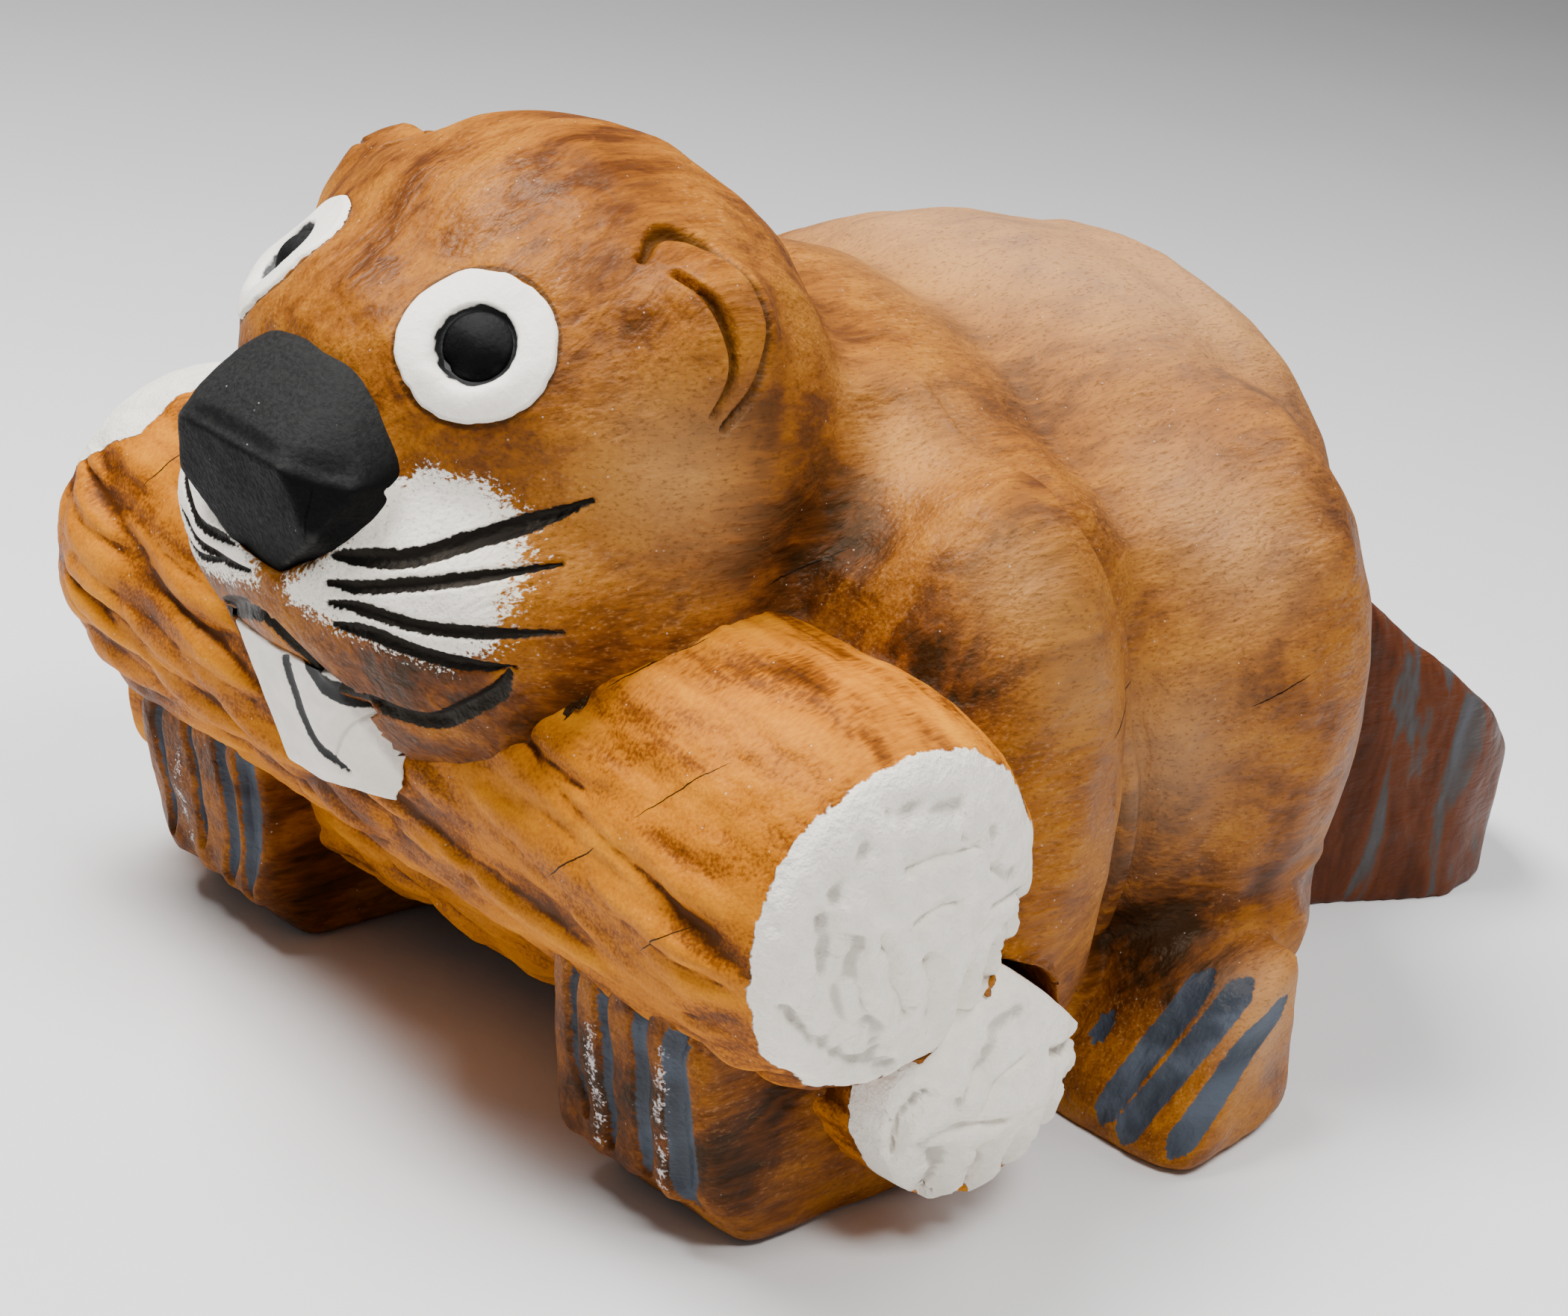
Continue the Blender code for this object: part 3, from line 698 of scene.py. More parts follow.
def gouging_tree():
    """Covers wood with long folds left between gouge cuts, pushed in towards an axis."""
    tree, graph, given = geometry_tree("Gouge Wood", {
        "Axis Start": ("NodeSocketVector", None),
        "Axis End": ("NodeSocketVector", None),
        "Depth": ("NodeSocketFloat", 0.005),
        "Length": ("NodeSocketFloat", 0.06),
        "Width": ("NodeSocketFloat", 0.015),
        "Slant": ("NodeSocketFloat", 0.2),
        "Seed": ("NodeSocketFloat", 0.0),
        "Material": ("NodeSocketMaterial", None),
    })
    place = graph.add("GeometryNodeInputPosition").outputs[0]
    axis = graph.vector("SUBTRACT", given["Axis End"], given["Axis Start"])
    arm = graph.vector("SUBTRACT", place, given["Axis Start"])
    share = graph.fit(graph.over(graph.dot(arm, axis), graph.dot(axis, axis)), 0.0, 1.0, smooth=False)
    foot = graph.vector("ADD", given["Axis Start"], graph.vector("SCALE", axis, scale=share))
    outward = graph.vector("NORMALIZE", graph.vector("SUBTRACT", place, foot))
    facing = graph.split(outward)

    # The folds: long cells along the log, slanting round it, their borders swayed by noise.
    parts = graph.split(place)
    around = graph.plus(parts["Z"], graph.times(parts["X"], given["Slant"]))
    cells = graph.joined(graph.over(parts["X"], given["Length"]), graph.over(parts["Y"], given["Width"]),
                         graph.over(around, given["Width"]))
    cells = graph.vector("ADD", cells, graph.joined(given["Seed"], given["Seed"], given["Seed"]))
    sway = graph.add("ShaderNodeTexNoise", {"Vector": cells, "Scale": 0.55, "Detail": 2.0})
    sway = graph.vector("SUBTRACT", sway.outputs["Color"], (0.5, 0.5, 0.5))
    sway = graph.vector("SCALE", sway, scale=1.7)
    swept = graph.vector("ADD", cells, sway)
    away = graph.cells(swept, 0.05)
    folds = graph.minus(1.0, graph.math("MINIMUM", graph.times(graph.times(away, away), 2.2), 1.0))
    patches = graph.fit(graph.noise(cells, 0.33, 1.0), 0.35, 0.62, 0.45, 1.0)
    patches = graph.times(patches, graph.fit(facing["Z"], 0.25, 0.80, 1.0, 0.30))

    # Small slanting dents and a fine roughness lie over them, and all is lower on the ends.
    slanted = graph.joined(graph.times(graph.plus(parts["X"], parts["Y"]), 34.0),
                           graph.times(graph.minus(parts["X"], parts["Y"]), 95.0),
                           graph.times(parts["Z"], 60.0))
    height = graph.total(
        graph.times(graph.minus(folds, 0.75), patches),
        graph.centred(graph.cells(slanted, 0.3), 0.14),
        graph.centred(graph.noise(swept, 2.2, 2.0), 0.10),
    )
    height = graph.times(height, graph.fit(graph.math("ABSOLUTE", facing["X"]), 0.20, 0.60, 1.0, 0.30))
    shift = graph.vector("SCALE", outward, scale=graph.times(height, given["Depth"]))
    # Keeps how deep in its fold each point lies, for the log's painted shade in the gouges.
    kept = graph.keep(given["Geometry"], "fold", graph.times(graph.minus(1.0, folds), patches))
    finish_tree(graph, graph.add("GeometryNodeSetPosition", {0: kept, "Offset": shift}))
    return tree


def relief_tree():
    """Lays the low flats and ripples of rasp and grinder over a surface."""
    tree, graph, given = geometry_tree("Tool Marks", {
        "Height": ("NodeSocketFloat", 0.001),
        "Size": ("NodeSocketFloat", 0.05),
        "Seed": ("NodeSocketFloat", 0.0),
        "Material": ("NodeSocketMaterial", None),
    })
    place = graph.add("GeometryNodeInputPosition")
    spot = graph.vector("SCALE", place, scale=graph.over(1.0, given["Size"]))
    spot = graph.vector("ADD", spot, graph.joined(given["Seed"]))
    ripple = graph.vector("MULTIPLY", spot, (3.0, 0.8, 3.0))
    sweep = graph.vector("MULTIPLY", spot, (1.1, 0.16, 0.9))
    height = graph.total(
        graph.plus(graph.minus(graph.cells(spot, 0.3), 0.5),
                   graph.minus(graph.noise(spot, 0.8, 2.0), 0.5)),
        graph.centred(graph.noise(ripple, 1.0, 3.0), 0.35),
        graph.centred(graph.noise(sweep, 1.0, 2.0), 1.6),
    )
    shift = graph.vector("SCALE", graph.add("GeometryNodeInputNormal"),
                         scale=graph.times(height, given["Height"]))
    finish_tree(graph, graph.add("GeometryNodeSetPosition", {0: given["Geometry"], "Offset": shift}))
    return tree


def run_tree(piece, tree, **values):
    """Adds a tree as a modifier, with its inputs set by their sockets' identifiers."""
    step = piece.modifiers.new(tree.name, "NODES")
    step.node_group = tree
    for socket in tree.interface.items_tree:
        key = socket.name.lower().replace(" ", "_")
        if socket.item_type == "SOCKET" and socket.in_out == "INPUT" and key in values:
            step[socket.identifier] = values[key]


# ---------------------------------------------------------------- materials


def new_material(name, specular=None, tint=None):
    """A material with a Principled shader to feed, and the tint of its highlights."""
    material = bpy.data.materials.new(name)
    material.use_nodes = True
    material.node_tree.nodes.clear()
    graph = Graph(material.node_tree)
    shader = graph.add("ShaderNodeBsdfPrincipled")
    graph.add("ShaderNodeOutputMaterial", {"Surface": shader})
    if specular is not None:
        shader.inputs["Specular IOR Level"].default_value = specular
    if tint is not None:
        shader.inputs["Specular Tint"].default_value = (*tint, 1.0)
    return material, graph, shader


def kept_number(graph, name):
    """A number that the mesh keeps for each vertex."""
    return graph.add("ShaderNodeAttribute", attribute_name=name).outputs["Fac"]


def object_place(graph):
    return graph.add("ShaderNodeTexCoord").outputs["Object"]


def hollows(graph, shallow, deep, strength):
    """A number that grows in the hollows of a piece."""
    return graph.fit(kept_number(graph, "hollow"), shallow, deep, 0.0, strength)


def ridges(graph, low, high, strength):
    """A number that grows on the ridges of a piece."""
    height = graph.times(kept_number(graph, "hollow"), -1.0)
    return graph.fit(height, low, high, 0.0, strength)


def ragged_mask(graph, distance, wobble, size, edge):
    """One inside a painted shape and nought outside, its edge wandering by noise."""
    return graph.fit(graph.plus(distance, graph.centred(wobble, size)), -edge, edge, 1.0, 0.0)


def raise_surface(graph, shader, height, distance, strength):
    """Raises the finish by a height, without moving the mesh."""
    bump = graph.add("ShaderNodeBump", {"Height": height, "Distance": distance, "Strength": strength})
    graph.feed(shader.inputs["Normal"], bump)


def dusted(graph, place, colour, scale, share, strength, dust):
    """A colour with small pale dots strewn over it."""
    cells = graph.add("ShaderNodeTexVoronoi", {"Vector": place, "Scale": scale})
    kept = graph.fit(cells.outputs["Color"], 1.0 - share, 1.0 - share + 0.02)
    dots = graph.times(kept, graph.fit(cells.outputs["Distance"], 0.10, 0.22, 1.0, 0.0))
    return graph.mix(graph.times(dots, strength), colour, dust)


def shade(colour, factor):
    """A colour made darker or paler."""
    return tuple(channel * factor for channel in colour)


def stain_ramp(graph, tone, middle, stops):
    """The stain's colours from dark to pale: each stop scales the middle colour's channels."""
    return graph.ramp(tone, [
        (place, tuple(channel * factor for channel, factor in zip(middle, factors)))
        for place, factors in stops
    ])


def crack_group():
    """A node group that marks one thin wandering crack on a surface."""
    found = bpy.data.node_groups.get("Drying Crack")
    if found:
        return found
    tree = bpy.data.node_groups.new("Drying Crack", "ShaderNodeTree")
    for label in ("Start", "Along", "Across", "Outward"):
        tree.interface.new_socket(label, in_out="INPUT", socket_type="NodeSocketVector")
    for label in ("Width", "Wander"):
        tree.interface.new_socket(label, in_out="INPUT", socket_type="NodeSocketFloat")
    tree.interface.new_socket("Mask", in_out="OUTPUT", socket_type="NodeSocketFloat")
    graph = Graph(tree)
    given = graph.add("NodeGroupInput").outputs
    arm = graph.vector("SUBTRACT", object_place(graph), given["Start"])
    share = graph.dot(arm, given["Along"])
    within = graph.times(graph.times(share, graph.minus(1.0, share)), 4.0)
    width = graph.times(graph.math("SQRT", graph.math("MAXIMUM", within, 0.0)), given["Width"])
    away = graph.math("ABSOLUTE", graph.plus(graph.dot(arm, given["Across"]), given["Wander"]))
    ratio = graph.over(away, graph.math("MAXIMUM", width, 0.00001))
    near = graph.math("ABSOLUTE", graph.dot(arm, given["Outward"]))
    mask = graph.times(graph.fit(ratio, 0.55, 1.0, 1.0, 0.0), graph.fit(near, 0.020, 0.025, 1.0, 0.0))
    graph.feed(graph.add("NodeGroupOutput").inputs[0], mask)
    return tree


def cracked(graph, colour, listed, depth_colour):
    """A colour with all the cracks of a piece drawn over it."""
    place = object_place(graph)
    wander = graph.plus(graph.centred(graph.noise(place, 70.0, 2.0), 0.0022),
                        graph.centred(graph.noise(place, 600.0, 2.0), 0.0006))
    total = None
    for start, end, outward, width in listed:
        along = Vector(end) - Vector(start)
        across = along.cross(Vector(outward)).normalized()
        inputs = {
            "Start": start,
            "Along": along / along.length_squared,
            "Across": across,
            "Outward": across.cross(along).normalized(),
            "Width": width,
            "Wander": wander,
        }
        crack = graph.add("ShaderNodeGroup", inputs, node_tree=crack_group()).outputs[0]
        total = crack if total is None else graph.math("MAXIMUM", total, crack)
    return graph.mix(total, colour, depth_colour)


def skin_material(paint):
    """Stained wood, with the painted cheeks, whiskers, mouth, claws and tail over it."""
    material, graph, shader = new_material("carved_skin", 0.18, (1.0, 0.80, 0.58))
    place = object_place(graph)
    blotch = graph.noise(place, 14.0, 1.5, 0.5, 0.5)
    brush = graph.grain(place, (48.0, 17.0, 38.0), (0.25, 0.1, 0.2), 1.5, 0.5, 0.8)
    fibre = graph.grain(place, (460.0, 50.0, 420.0), (0.12, 0.0, 0.1), 2.0, 0.6)
    pores = graph.grain(place, (800.0, 260.0, 800.0), (0.12, 0.0, 0.1), 2.0, 0.6)
    daubs = graph.grain(place, (95.0, 40.0, 70.0), (0.3, 0.2, 0.5), 2.5, 0.5, 1.0)
    streaks = graph.grain(place, (190.0, 24.0, 140.0), (0.35, 0.15, 0.3), 2.0, 0.6)
    pale = kept_number(graph, "pale_cloud")
    crease = kept_number(graph, "crease")
    middle = tuple(paint.stain)

    # The stain's tone: blotches, brush marks, grain, clouds, and painted shade in the creases and
    # hollows.
    marks = ((daubs, 0.52, 0.022), (brush, 0.50, 0.022), (streaks, 0.54, 0.034))
    tone = graph.total(
        graph.times(blotch, 0.75),
        graph.times(brush, 0.40),
        *[graph.fit(noise, edge - 0.05, edge + 0.05, -strength, strength)
          for noise, edge, strength in marks],
        -0.09,
        graph.centred(fibre, 0.24),
        # Painted shade in the broad creases, and paler over the broad bulges.
        graph.fit(crease, 0.002, 0.012, 0.0, -0.22),
        graph.fit(crease, -0.010, -0.002, 0.07, 0.0),
        # Dark clouds of stain and painted shade, and pale patches.
        graph.times(kept_number(graph, "dark_cloud"), -0.22),
        graph.times(pale, 0.16),
        # Painted shade in the small hollows, and paler on the ridges.
        hollows(graph, 0.0006, 0.0034, -0.22),
        ridges(graph, 0.0008, 0.0030, 0.08),
    )
    wood = stain_ramp(graph, tone, middle, (
        (0.14, (0.10, 0.10, 0.10)),
        (0.30, (0.44, 0.38, 0.70)),
        (0.46, (1.00, 1.00, 1.10)),
        (0.60, (1.38, 1.55, 1.50)),
        (0.82, (1.75, 2.20, 2.60)),
    ))
    back = graph.fit(graph.split(place)["Y"], -0.12, 0.02)
    grey = graph.mix(back, (0.52, 0.29, 0.12), (0.56, 0.36, 0.22))
    colour = graph.mix(graph.times(pale, 0.40), wood, grey)
    colour = graph.mix(graph.fit(pores, 0.54, 0.68, 0.0, 0.40), colour, shade(middle, 0.22))
    raw = graph.times(graph.fit(pores, 0.30, 0.44, 1.0, 0.0), graph.fit(blotch, 0.40, 0.60))
    colour = graph.mix(graph.times(raw, 0.3), colour, (0.52, 0.27, 0.09))
    colour = dusted(graph, place, colour, 420.0, 0.14, 0.45, (0.72, 0.62, 0.52))

    # The tail: dark red-brown, scraped with blue-grey.
    tail = ragged_mask(graph, kept_number(graph, "tail"), blotch, 0.006, 0.002)
    scrapes = graph.grain(place, (24.0, 38.0, 9.0), (0.3, 0.0, 0.0), 3.0, 0.7, 0.5)
    colour = graph.mix(tail, colour, graph.ramp(scrapes, (
        (0.30, (0.030, 0.008, 0.003)), (0.48, (0.085, 0.020, 0.007)), (0.57, (0.105, 0.028, 0.010)),
        (0.63, (0.060, 0.050, 0.048)), (0.76, (0.080, 0.085, 0.098)),
    )))

    # The cheeks: dry white paint, yellowed in blotches and thin over the pores.
    white = tuple(paint.white)
    dry = graph.plus(graph.times(fibre, 0.5), graph.times(pores, 0.5))
    cover = ragged_mask(graph, kept_number(graph, "cheek"), dry, 0.034, 0.0022)
    cream = graph.mix(graph.fit(blotch, 0.50, 0.66, 0.0, 0.35), white, (0.74, 0.60, 0.34))
    cream = graph.mix(graph.fit(pores, 0.52, 0.70, 0.0, 0.5), cream, shade(white, 0.45))
    colour = graph.mix(cover, colour, cream)

    # Claws, with chalky scuffs between them.
    claw = graph.math("MINIMUM", kept_number(graph, "claw"), kept_number(graph, "toe"))
    slate = graph.mix(graph.fit(brush, 0.4, 0.7), tuple(paint.claw), shade(paint.claw, 1.8))
    colour = graph.mix(ragged_mask(graph, claw, fibre, 0.0022, 0.0005), colour, slate)
    chalk = ragged_mask(graph, kept_number(graph, "chalk"), pores, 0.016, 0.0010)
    scuffs = graph.times(chalk, graph.fit(graph.noise(place, 160.0, 2.0, 0.7), 0.46, 0.58))
    colour = graph.mix(graph.times(scuffs, 0.85), colour, (0.74, 0.68, 0.66))

    # Black lines, and painted shade in the cuts round the eyes and ears.
    line = graph.math("MINIMUM", kept_number(graph, "whisker"), kept_number(graph, "mouth"))
    colour = graph.mix(ragged_mask(graph, line, fibre, 0.0024, 0.0004), colour, tuple(paint.black))
    ring = ragged_mask(graph, kept_number(graph, "ring"), pores, 0.0012, 0.0005)
    colour = graph.mix(graph.times(ring, 0.8), colour, shade(middle, 0.16))
    cut = ragged_mask(graph, kept_number(graph, "ear"), fibre, 0.0010, 0.0008)
    colour = graph.mix(graph.times(cut, 0.70), colour, shade(middle, 0.12))
    colour = cracked(graph, colour, SKIN_CRACKS, shade(middle, 0.05))

    graph.feed(shader.inputs["Base Color"], colour)
    gloss = graph.fit(brush, 0.3, 0.7, 0.40, 0.60, smooth=False)
    graph.feed(shader.inputs["Roughness"], graph.plus(gloss, graph.times(cover, 0.12)))
    height = graph.total(graph.times(fibre, 0.28), graph.times(streaks, 0.45), graph.times(daubs, 0.8))
    raise_surface(graph, shader, height, 0.0022, 0.9)
    return material


def log_material(paint):
    """Golden stained wood with painted shade in its gouges and white paint over its ends."""
    material, graph, shader = new_material("carved_log", 0.20, (1.0, 0.78, 0.50))
    place = object_place(graph)
    blotch = graph.noise(place, 16.0, 4.0, 0.6, 0.4)
    streak = graph.grain(place, (16.0, 60.0, 60.0), (0.0, 0.12, 0.3), 3.0, 0.5)
    fibre = graph.grain(place, (700.0, 90.0, 700.0), (0.0, 0.0, 0.0), 2.0, 0.5)
    fine = graph.noise(place, 380.0, 2.0, 0.65)
    crusts = graph.noise(place, 90.0, 3.0, 0.7)
    middle = tuple(paint.log_stain)
    tone = graph.total(
        graph.plus(graph.times(blotch, 0.7), graph.times(streak, 0.9)),
        -0.33,
        graph.centred(fibre, 0.40),
        # Painted shade in the hollows, painted highlight on the ridges, and more painted shade deep in
        # the gouges.
        hollows(graph, 0.0001, 0.0014, -0.26),
        ridges(graph, 0.0001, 0.0014, 0.10),
        graph.fit(kept_number(graph, "fold"), 0.45, 1.0, 0.0, -0.20),
    )
    wood = stain_ramp(graph, tone, middle, (
        (0.20, (0.16, 0.12, 0.14)),
        (0.34, (0.48, 0.40, 0.35)),
        (0.46, (1.00, 1.00, 1.00)),
        (0.58, (1.25, 1.35, 1.60)),
        (0.72, (1.50, 1.80, 2.60)),
    ))
    wood = dusted(graph, place, wood, 420.0, 0.15, 0.5, (0.72, 0.60, 0.42))
    wood = cracked(graph, wood, LOG_CRACKS, shade(middle, 0.05))
    end = ragged_mask(graph, kept_number(graph, "end"), crusts, 0.009, 0.0005)
    white = graph.mix(graph.fit(crusts, 0.35, 0.7), shade(paint.white, 0.94), shade(paint.white, 1.03))
    # Painted shade in the chisel cuts and hollows of the white ends.
    white = graph.mix(hollows(graph, 0.0002, 0.0016, 0.60), white, (0.38, 0.34, 0.29))
    graph.feed(shader.inputs["Base Color"], graph.mix(end, wood, white))
    gloss = graph.fit(streak, 0.3, 0.7, 0.48, 0.66, smooth=False)
    graph.feed(shader.inputs["Roughness"], graph.math("MAXIMUM", gloss, graph.times(end, 0.62)))
    grain = graph.plus(graph.times(fibre, 0.2), graph.times(streak, 0.9))
    crust = graph.total(graph.times(fine, 0.5), crusts, 0.4)
    height = graph.plus(graph.times(grain, graph.minus(1.0, end)), graph.times(crust, end))
    raise_surface(graph, shader, height, 0.0020, 0.9)
    return material


def white_material(paint):
    """Thick matt paint, with painted shade in its hollows and along its crease."""
    material, graph, shader = new_material("carved_white")
    place = object_place(graph)
    fine = graph.noise(place, 420.0, 4.0, 0.65)
    broad = graph.noise(place, 60.0, 3.0, 0.6)
    white = tuple(paint.white)
    colour = graph.mix(graph.fit(broad, 0.35, 0.7), shade(white, 0.92), shade(white, 1.06))
    # Painted shade in the hollows of the paint.
    colour = graph.mix(hollows(graph, 0.0002, 0.0018, 0.55), colour, (0.42, 0.37, 0.30))
    line = ragged_mask(graph, kept_number(graph, "line"), fine, 0.0022, 0.0004)
    colour = graph.mix(line, colour, tuple(paint.black))
    # Painted shade along the crease between the front and the side of a tooth.
    crease = ragged_mask(graph, kept_number(graph, "crease"), fine, 0.0008, 0.0004)
    colour = graph.mix(graph.times(crease, 0.4), colour, (0.36, 0.32, 0.27))
    graph.feed(shader.inputs["Base Color"], colour)
    shader.inputs["Roughness"].default_value = 0.62
    raise_surface(graph, shader, graph.plus(graph.times(fine, 0.6), broad), 0.0012, 0.55)
    return material


def black_material(paint):
    """Black paint, dusted grey where it faces up, with paler edges of wear and painted highlight."""
    material, graph, shader = new_material("carved_black", 0.06)
    place = object_place(graph)
    fine = graph.noise(place, 500.0, 4.0, 0.65)
    broad = graph.noise(place, 45.0, 3.0, 0.6)
    black = tuple(paint.black)
    dust = graph.times(kept_number(graph, "upward"), graph.fit(fine, 0.25, 0.8, 0.35, 1.0))
    colour = graph.mix(graph.times(dust, 0.62), shade(black, 0.75), (0.040, 0.040, 0.039))
    # Paler along the edges: partly worn paint, partly painted highlight drawing the ridges.
    worn_and_highlit = graph.times(ridges(graph, 0.0003, 0.0009, 1.0), graph.fit(broad, 0.46, 0.60))
    colour = graph.mix(graph.times(worn_and_highlit, 0.4), colour, (0.12, 0.115, 0.11))
    colour = dusted(graph, place, colour, 460.0, 0.10, 0.6, (0.40, 0.38, 0.35))
    colour = cracked(graph, colour, NOSE_CRACKS, shade(black, 0.15))
    graph.feed(shader.inputs["Base Color"], colour)
    graph.feed(shader.inputs["Roughness"], graph.fit(fine, 0.3, 0.7, 0.50, 0.72, smooth=False))
    raise_surface(graph, shader, graph.plus(graph.times(fine, 0.5), broad), 0.0014, 0.9)
    return material


def eye_material(paint):
    """The white disc of an eye, black inside the ring that is cut round the pupil."""
    material, graph, shader = new_material("carved_eye")
    place = object_place(graph)
    fine = graph.noise(place, 420.0, 4.0, 0.65)
    wander = graph.noise(place, 150.0, 2.0, 0.5)
    white = shade(tuple(paint.white), 1.06)
    colour = graph.mix(graph.fit(fine, 0.35, 0.7), shade(white, 0.95), white)
    ring = ragged_mask(graph, kept_number(graph, "from_ring"), wander, 0.0030, 0.0004)
    graph.feed(shader.inputs["Base Color"], graph.mix(ring, colour, tuple(paint.black)))
    shader.inputs["Roughness"].default_value = 0.55
    raise_surface(graph, shader, graph.plus(fine, wander), 0.0008, 0.5)
    return material


# ---------------------------------------------------------------- bare logs


# How far in from its end a log reaches its full radius, how far its edge is rounded, how deep its white
# tip is, how far its end bulges, and the far end's length against the near end's.
LOG_TAPER = 0.070
LOG_DOME = 0.013
TIP_DEPTH = 0.020
END_DOME = 0.013
FAR_END_SCALE = 0.86
# How much thinner than the logs the wood that fills their beds is, and the solids that cut the beds.
BED_FILL = 0.0065
BED_CUT = 0.0050


def log_line(name):
    """The middle points of a log's ends, its radius where the tips begin, and its middle radius."""
    ends = []
    for side in ("right", "left"):
        low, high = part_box(f"{name}_tip_{side}")
        seam = (high.y - low.y) / 2
        ends.append(Vector((high.x if side == "left" else low.x, (low.y + high.y) / 2, low.z + seam)))
    low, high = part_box(name)
    tilt = abs(ends[1].z - ends[0].z)
    middle = (high.z - low.z - tilt) / 2 if name == "log_upper" else seam
    return ends[0], ends[1], seam, max(middle, seam)


def log_radius(inward, seam, middle):
    """The radius of a log a given way in from its end."""
    bend = math.sin(math.pi / 2 * TIP_DEPTH / LOG_TAPER)
    tip = (seam - middle * bend) / (1 - bend)
    radius = tip + (middle - tip) * math.sin(math.pi / 2 * min(1.0, inward / LOG_TAPER))
    if inward < LOG_DOME:
        radius *= math.sqrt(max(0.0, 1.0 - 0.66 * ((LOG_DOME - inward) / LOG_DOME) ** 2))
    return radius


def turned(name, start, end, stations, sides):
    """A closed round solid about the line from start to end, through stations of x and radius."""
    rings = []
    for x, radius in stations:
        middle = start.lerp(end, (x - start.x) / (end.x - start.x))
        turn = np.arange(sides) * math.tau / sides
        rings.append(np.stack([np.full(sides, x), middle.y + radius * np.cos(turn),
                               middle.z + radius * np.sin(turn)], 1))
    verts = np.concatenate(rings)
    faces = []
    for ring in range(len(stations) - 1):
        first = ring * sides
        for step in range(sides):
            after = (step + 1) % sides
            faces.append((first + step, first + after, first + sides + after, first + sides + step))
    hubs = [rings[0].mean(0), rings[-1].mean(0)]
    for hub, first in ((len(verts), 0), (len(verts) + 1, len(verts) - sides)):
        faces += [(hub, first + step, first + (step + 1) % sides) for step in range(sides)]
    return new_piece(name, closed_mesh(name, np.concatenate([verts, hubs]), faces))


def plain_log(name, shrink):
    """A log as a bare thinner solid, to fill or cut its bed in the beaver."""
    start, end, seam, middle = log_line(name)
    half = (end.x - start.x) / 2
    places = np.linspace(-half, half, 41)
    stations = [(x, log_radius(half - abs(x), seam, middle) - shrink) for x in places]
    return turned(name + "_bed", start, end, stations, 48)


# ---------------------------------------------------------------- skin


def keep_largest(piece):
    """Drops the crumbs beside the main body of a mesh."""
    bm = bmesh.new()
    bm.from_mesh(piece.data)
    left = set(bm.verts)
    islands = []
    while left:
        island = {left.pop()}
        rim = set(island)
        while rim:
            near = {edge.other_vert(vert) for vert in rim for edge in vert.link_edges}
            rim = near - island
            island |= near
        left -= island
        islands.append(island)
    largest = max(islands, key=len)
    bmesh.ops.delete(bm, geom=[vert for vert in bm.verts if vert not in largest], context="VERTS")
    bm.to_mesh(piece.data)
    bm.free()


def refine(piece, wanted):
    """Splits every edge whose two ends are wanted, and evens out the new points."""
    bm = bmesh.new()
    bm.from_mesh(piece.data)
    chosen = {vert for vert in bm.verts if wanted(vert.co)}
    edges = [edge for edge in bm.edges if edge.verts[0] in chosen and edge.verts[1] in chosen]
    bmesh.ops.subdivide_edges(bm, edges=edges, cuts=1, use_grid_fill=True)
    inner = [vert for vert in bm.verts if wanted(vert.co)]
    axes = {"use_axis_x": True, "use_axis_y": True, "use_axis_z": True}
    for _ in range(3):
        bmesh.ops.smooth_vert(bm, verts=inner, factor=0.5, **axes)
    bm.to_mesh(piece.data)
    bm.free()


def fused_skin(settings):
    """The beaver's wood as one closed smooth mesh, with its beds for the logs cut out."""
    bm = bmesh.new()
    for node in FLESH:
        add_node_solid(bm, node, OVERLAP)
    for node in ("eye_left", "eye_right"):
        add_node_solid(bm, node, OVERLAP)
        low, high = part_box(node)
        middle = (low + high) / 2
        inward = Vector((math.copysign(0.006, -middle.x), 0.012, -0.004))
        backing = Matrix.Translation(middle + inward)
        bmesh.ops.create_icosphere(bm, subdivisions=3, radius=0.022, matrix=backing)
    nose_low, nose_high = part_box("nose")
    face_plane = nose_low.y + 0.45 * (nose_high.y - nose_low.y)
    before = len(bm.verts)
    add_node_solid(bm, "nose", OVERLAP)
    bm.verts.ensure_lookup_table()
    for vert in bm.verts[before:]:
        vert.co.y = max(vert.co.y, face_plane)
    add_node_solid(bm, "teeth", -0.003)
    for sign in SIDES.values():
        for x, top in FINGERS:
            for share in np.linspace(0.0, 1.0, 9):
                place = (sign * x, -0.279 - 0.013 * share, 0.034 + (top - 0.034) * share)
                knuckle = Matrix.Translation(place)
                bmesh.ops.create_icosphere(bm, subdivisions=2, radius=0.0120, matrix=knuckle)
    for name in LOGS:
        bed = plain_log(name, BED_FILL)
        bm.from_mesh(bed.data)
        bpy.data.objects.remove(bed)
    skin = new_piece("beaver_body", bm)
    remesh = skin.modifiers.new("Fuse", "REMESH")
    remesh.mode = "VOXEL"
    remesh.voxel_size = settings.voxel
    apply_modifiers(skin)
    smooth_facets(skin, settings.smoothing)
    cutters = [plain_log(name, BED_CUT) for name in LOGS]
    for cutter in cutters:
        cut = skin.modifiers.new("Bed", "BOOLEAN")
        cut.operation = "DIFFERENCE"
        cut.object = cutter
    apply_modifiers(skin)
    for cutter in cutters:
        bpy.data.objects.remove(cutter)
    keep_largest(skin)
    return skin


# ---------------------------------------------------------------- placing pieces


EYE_RADIUS = 0.0310
EYE_ROUNDING = 0.0016
EYE_HOLE = 0.0160
PUPIL_RADIUS = 0.0138
# How far an eye's disc and pupil reach down into the wood, and how far the wood is lowered for them.
DISC_ROOT = 0.004
EYE_SINK = 0.0045
# How far the lip stands over the teeth, and how far the wood lies behind their front.
LIP_OVER = 0.0012
WOOD_BEHIND = 0.003
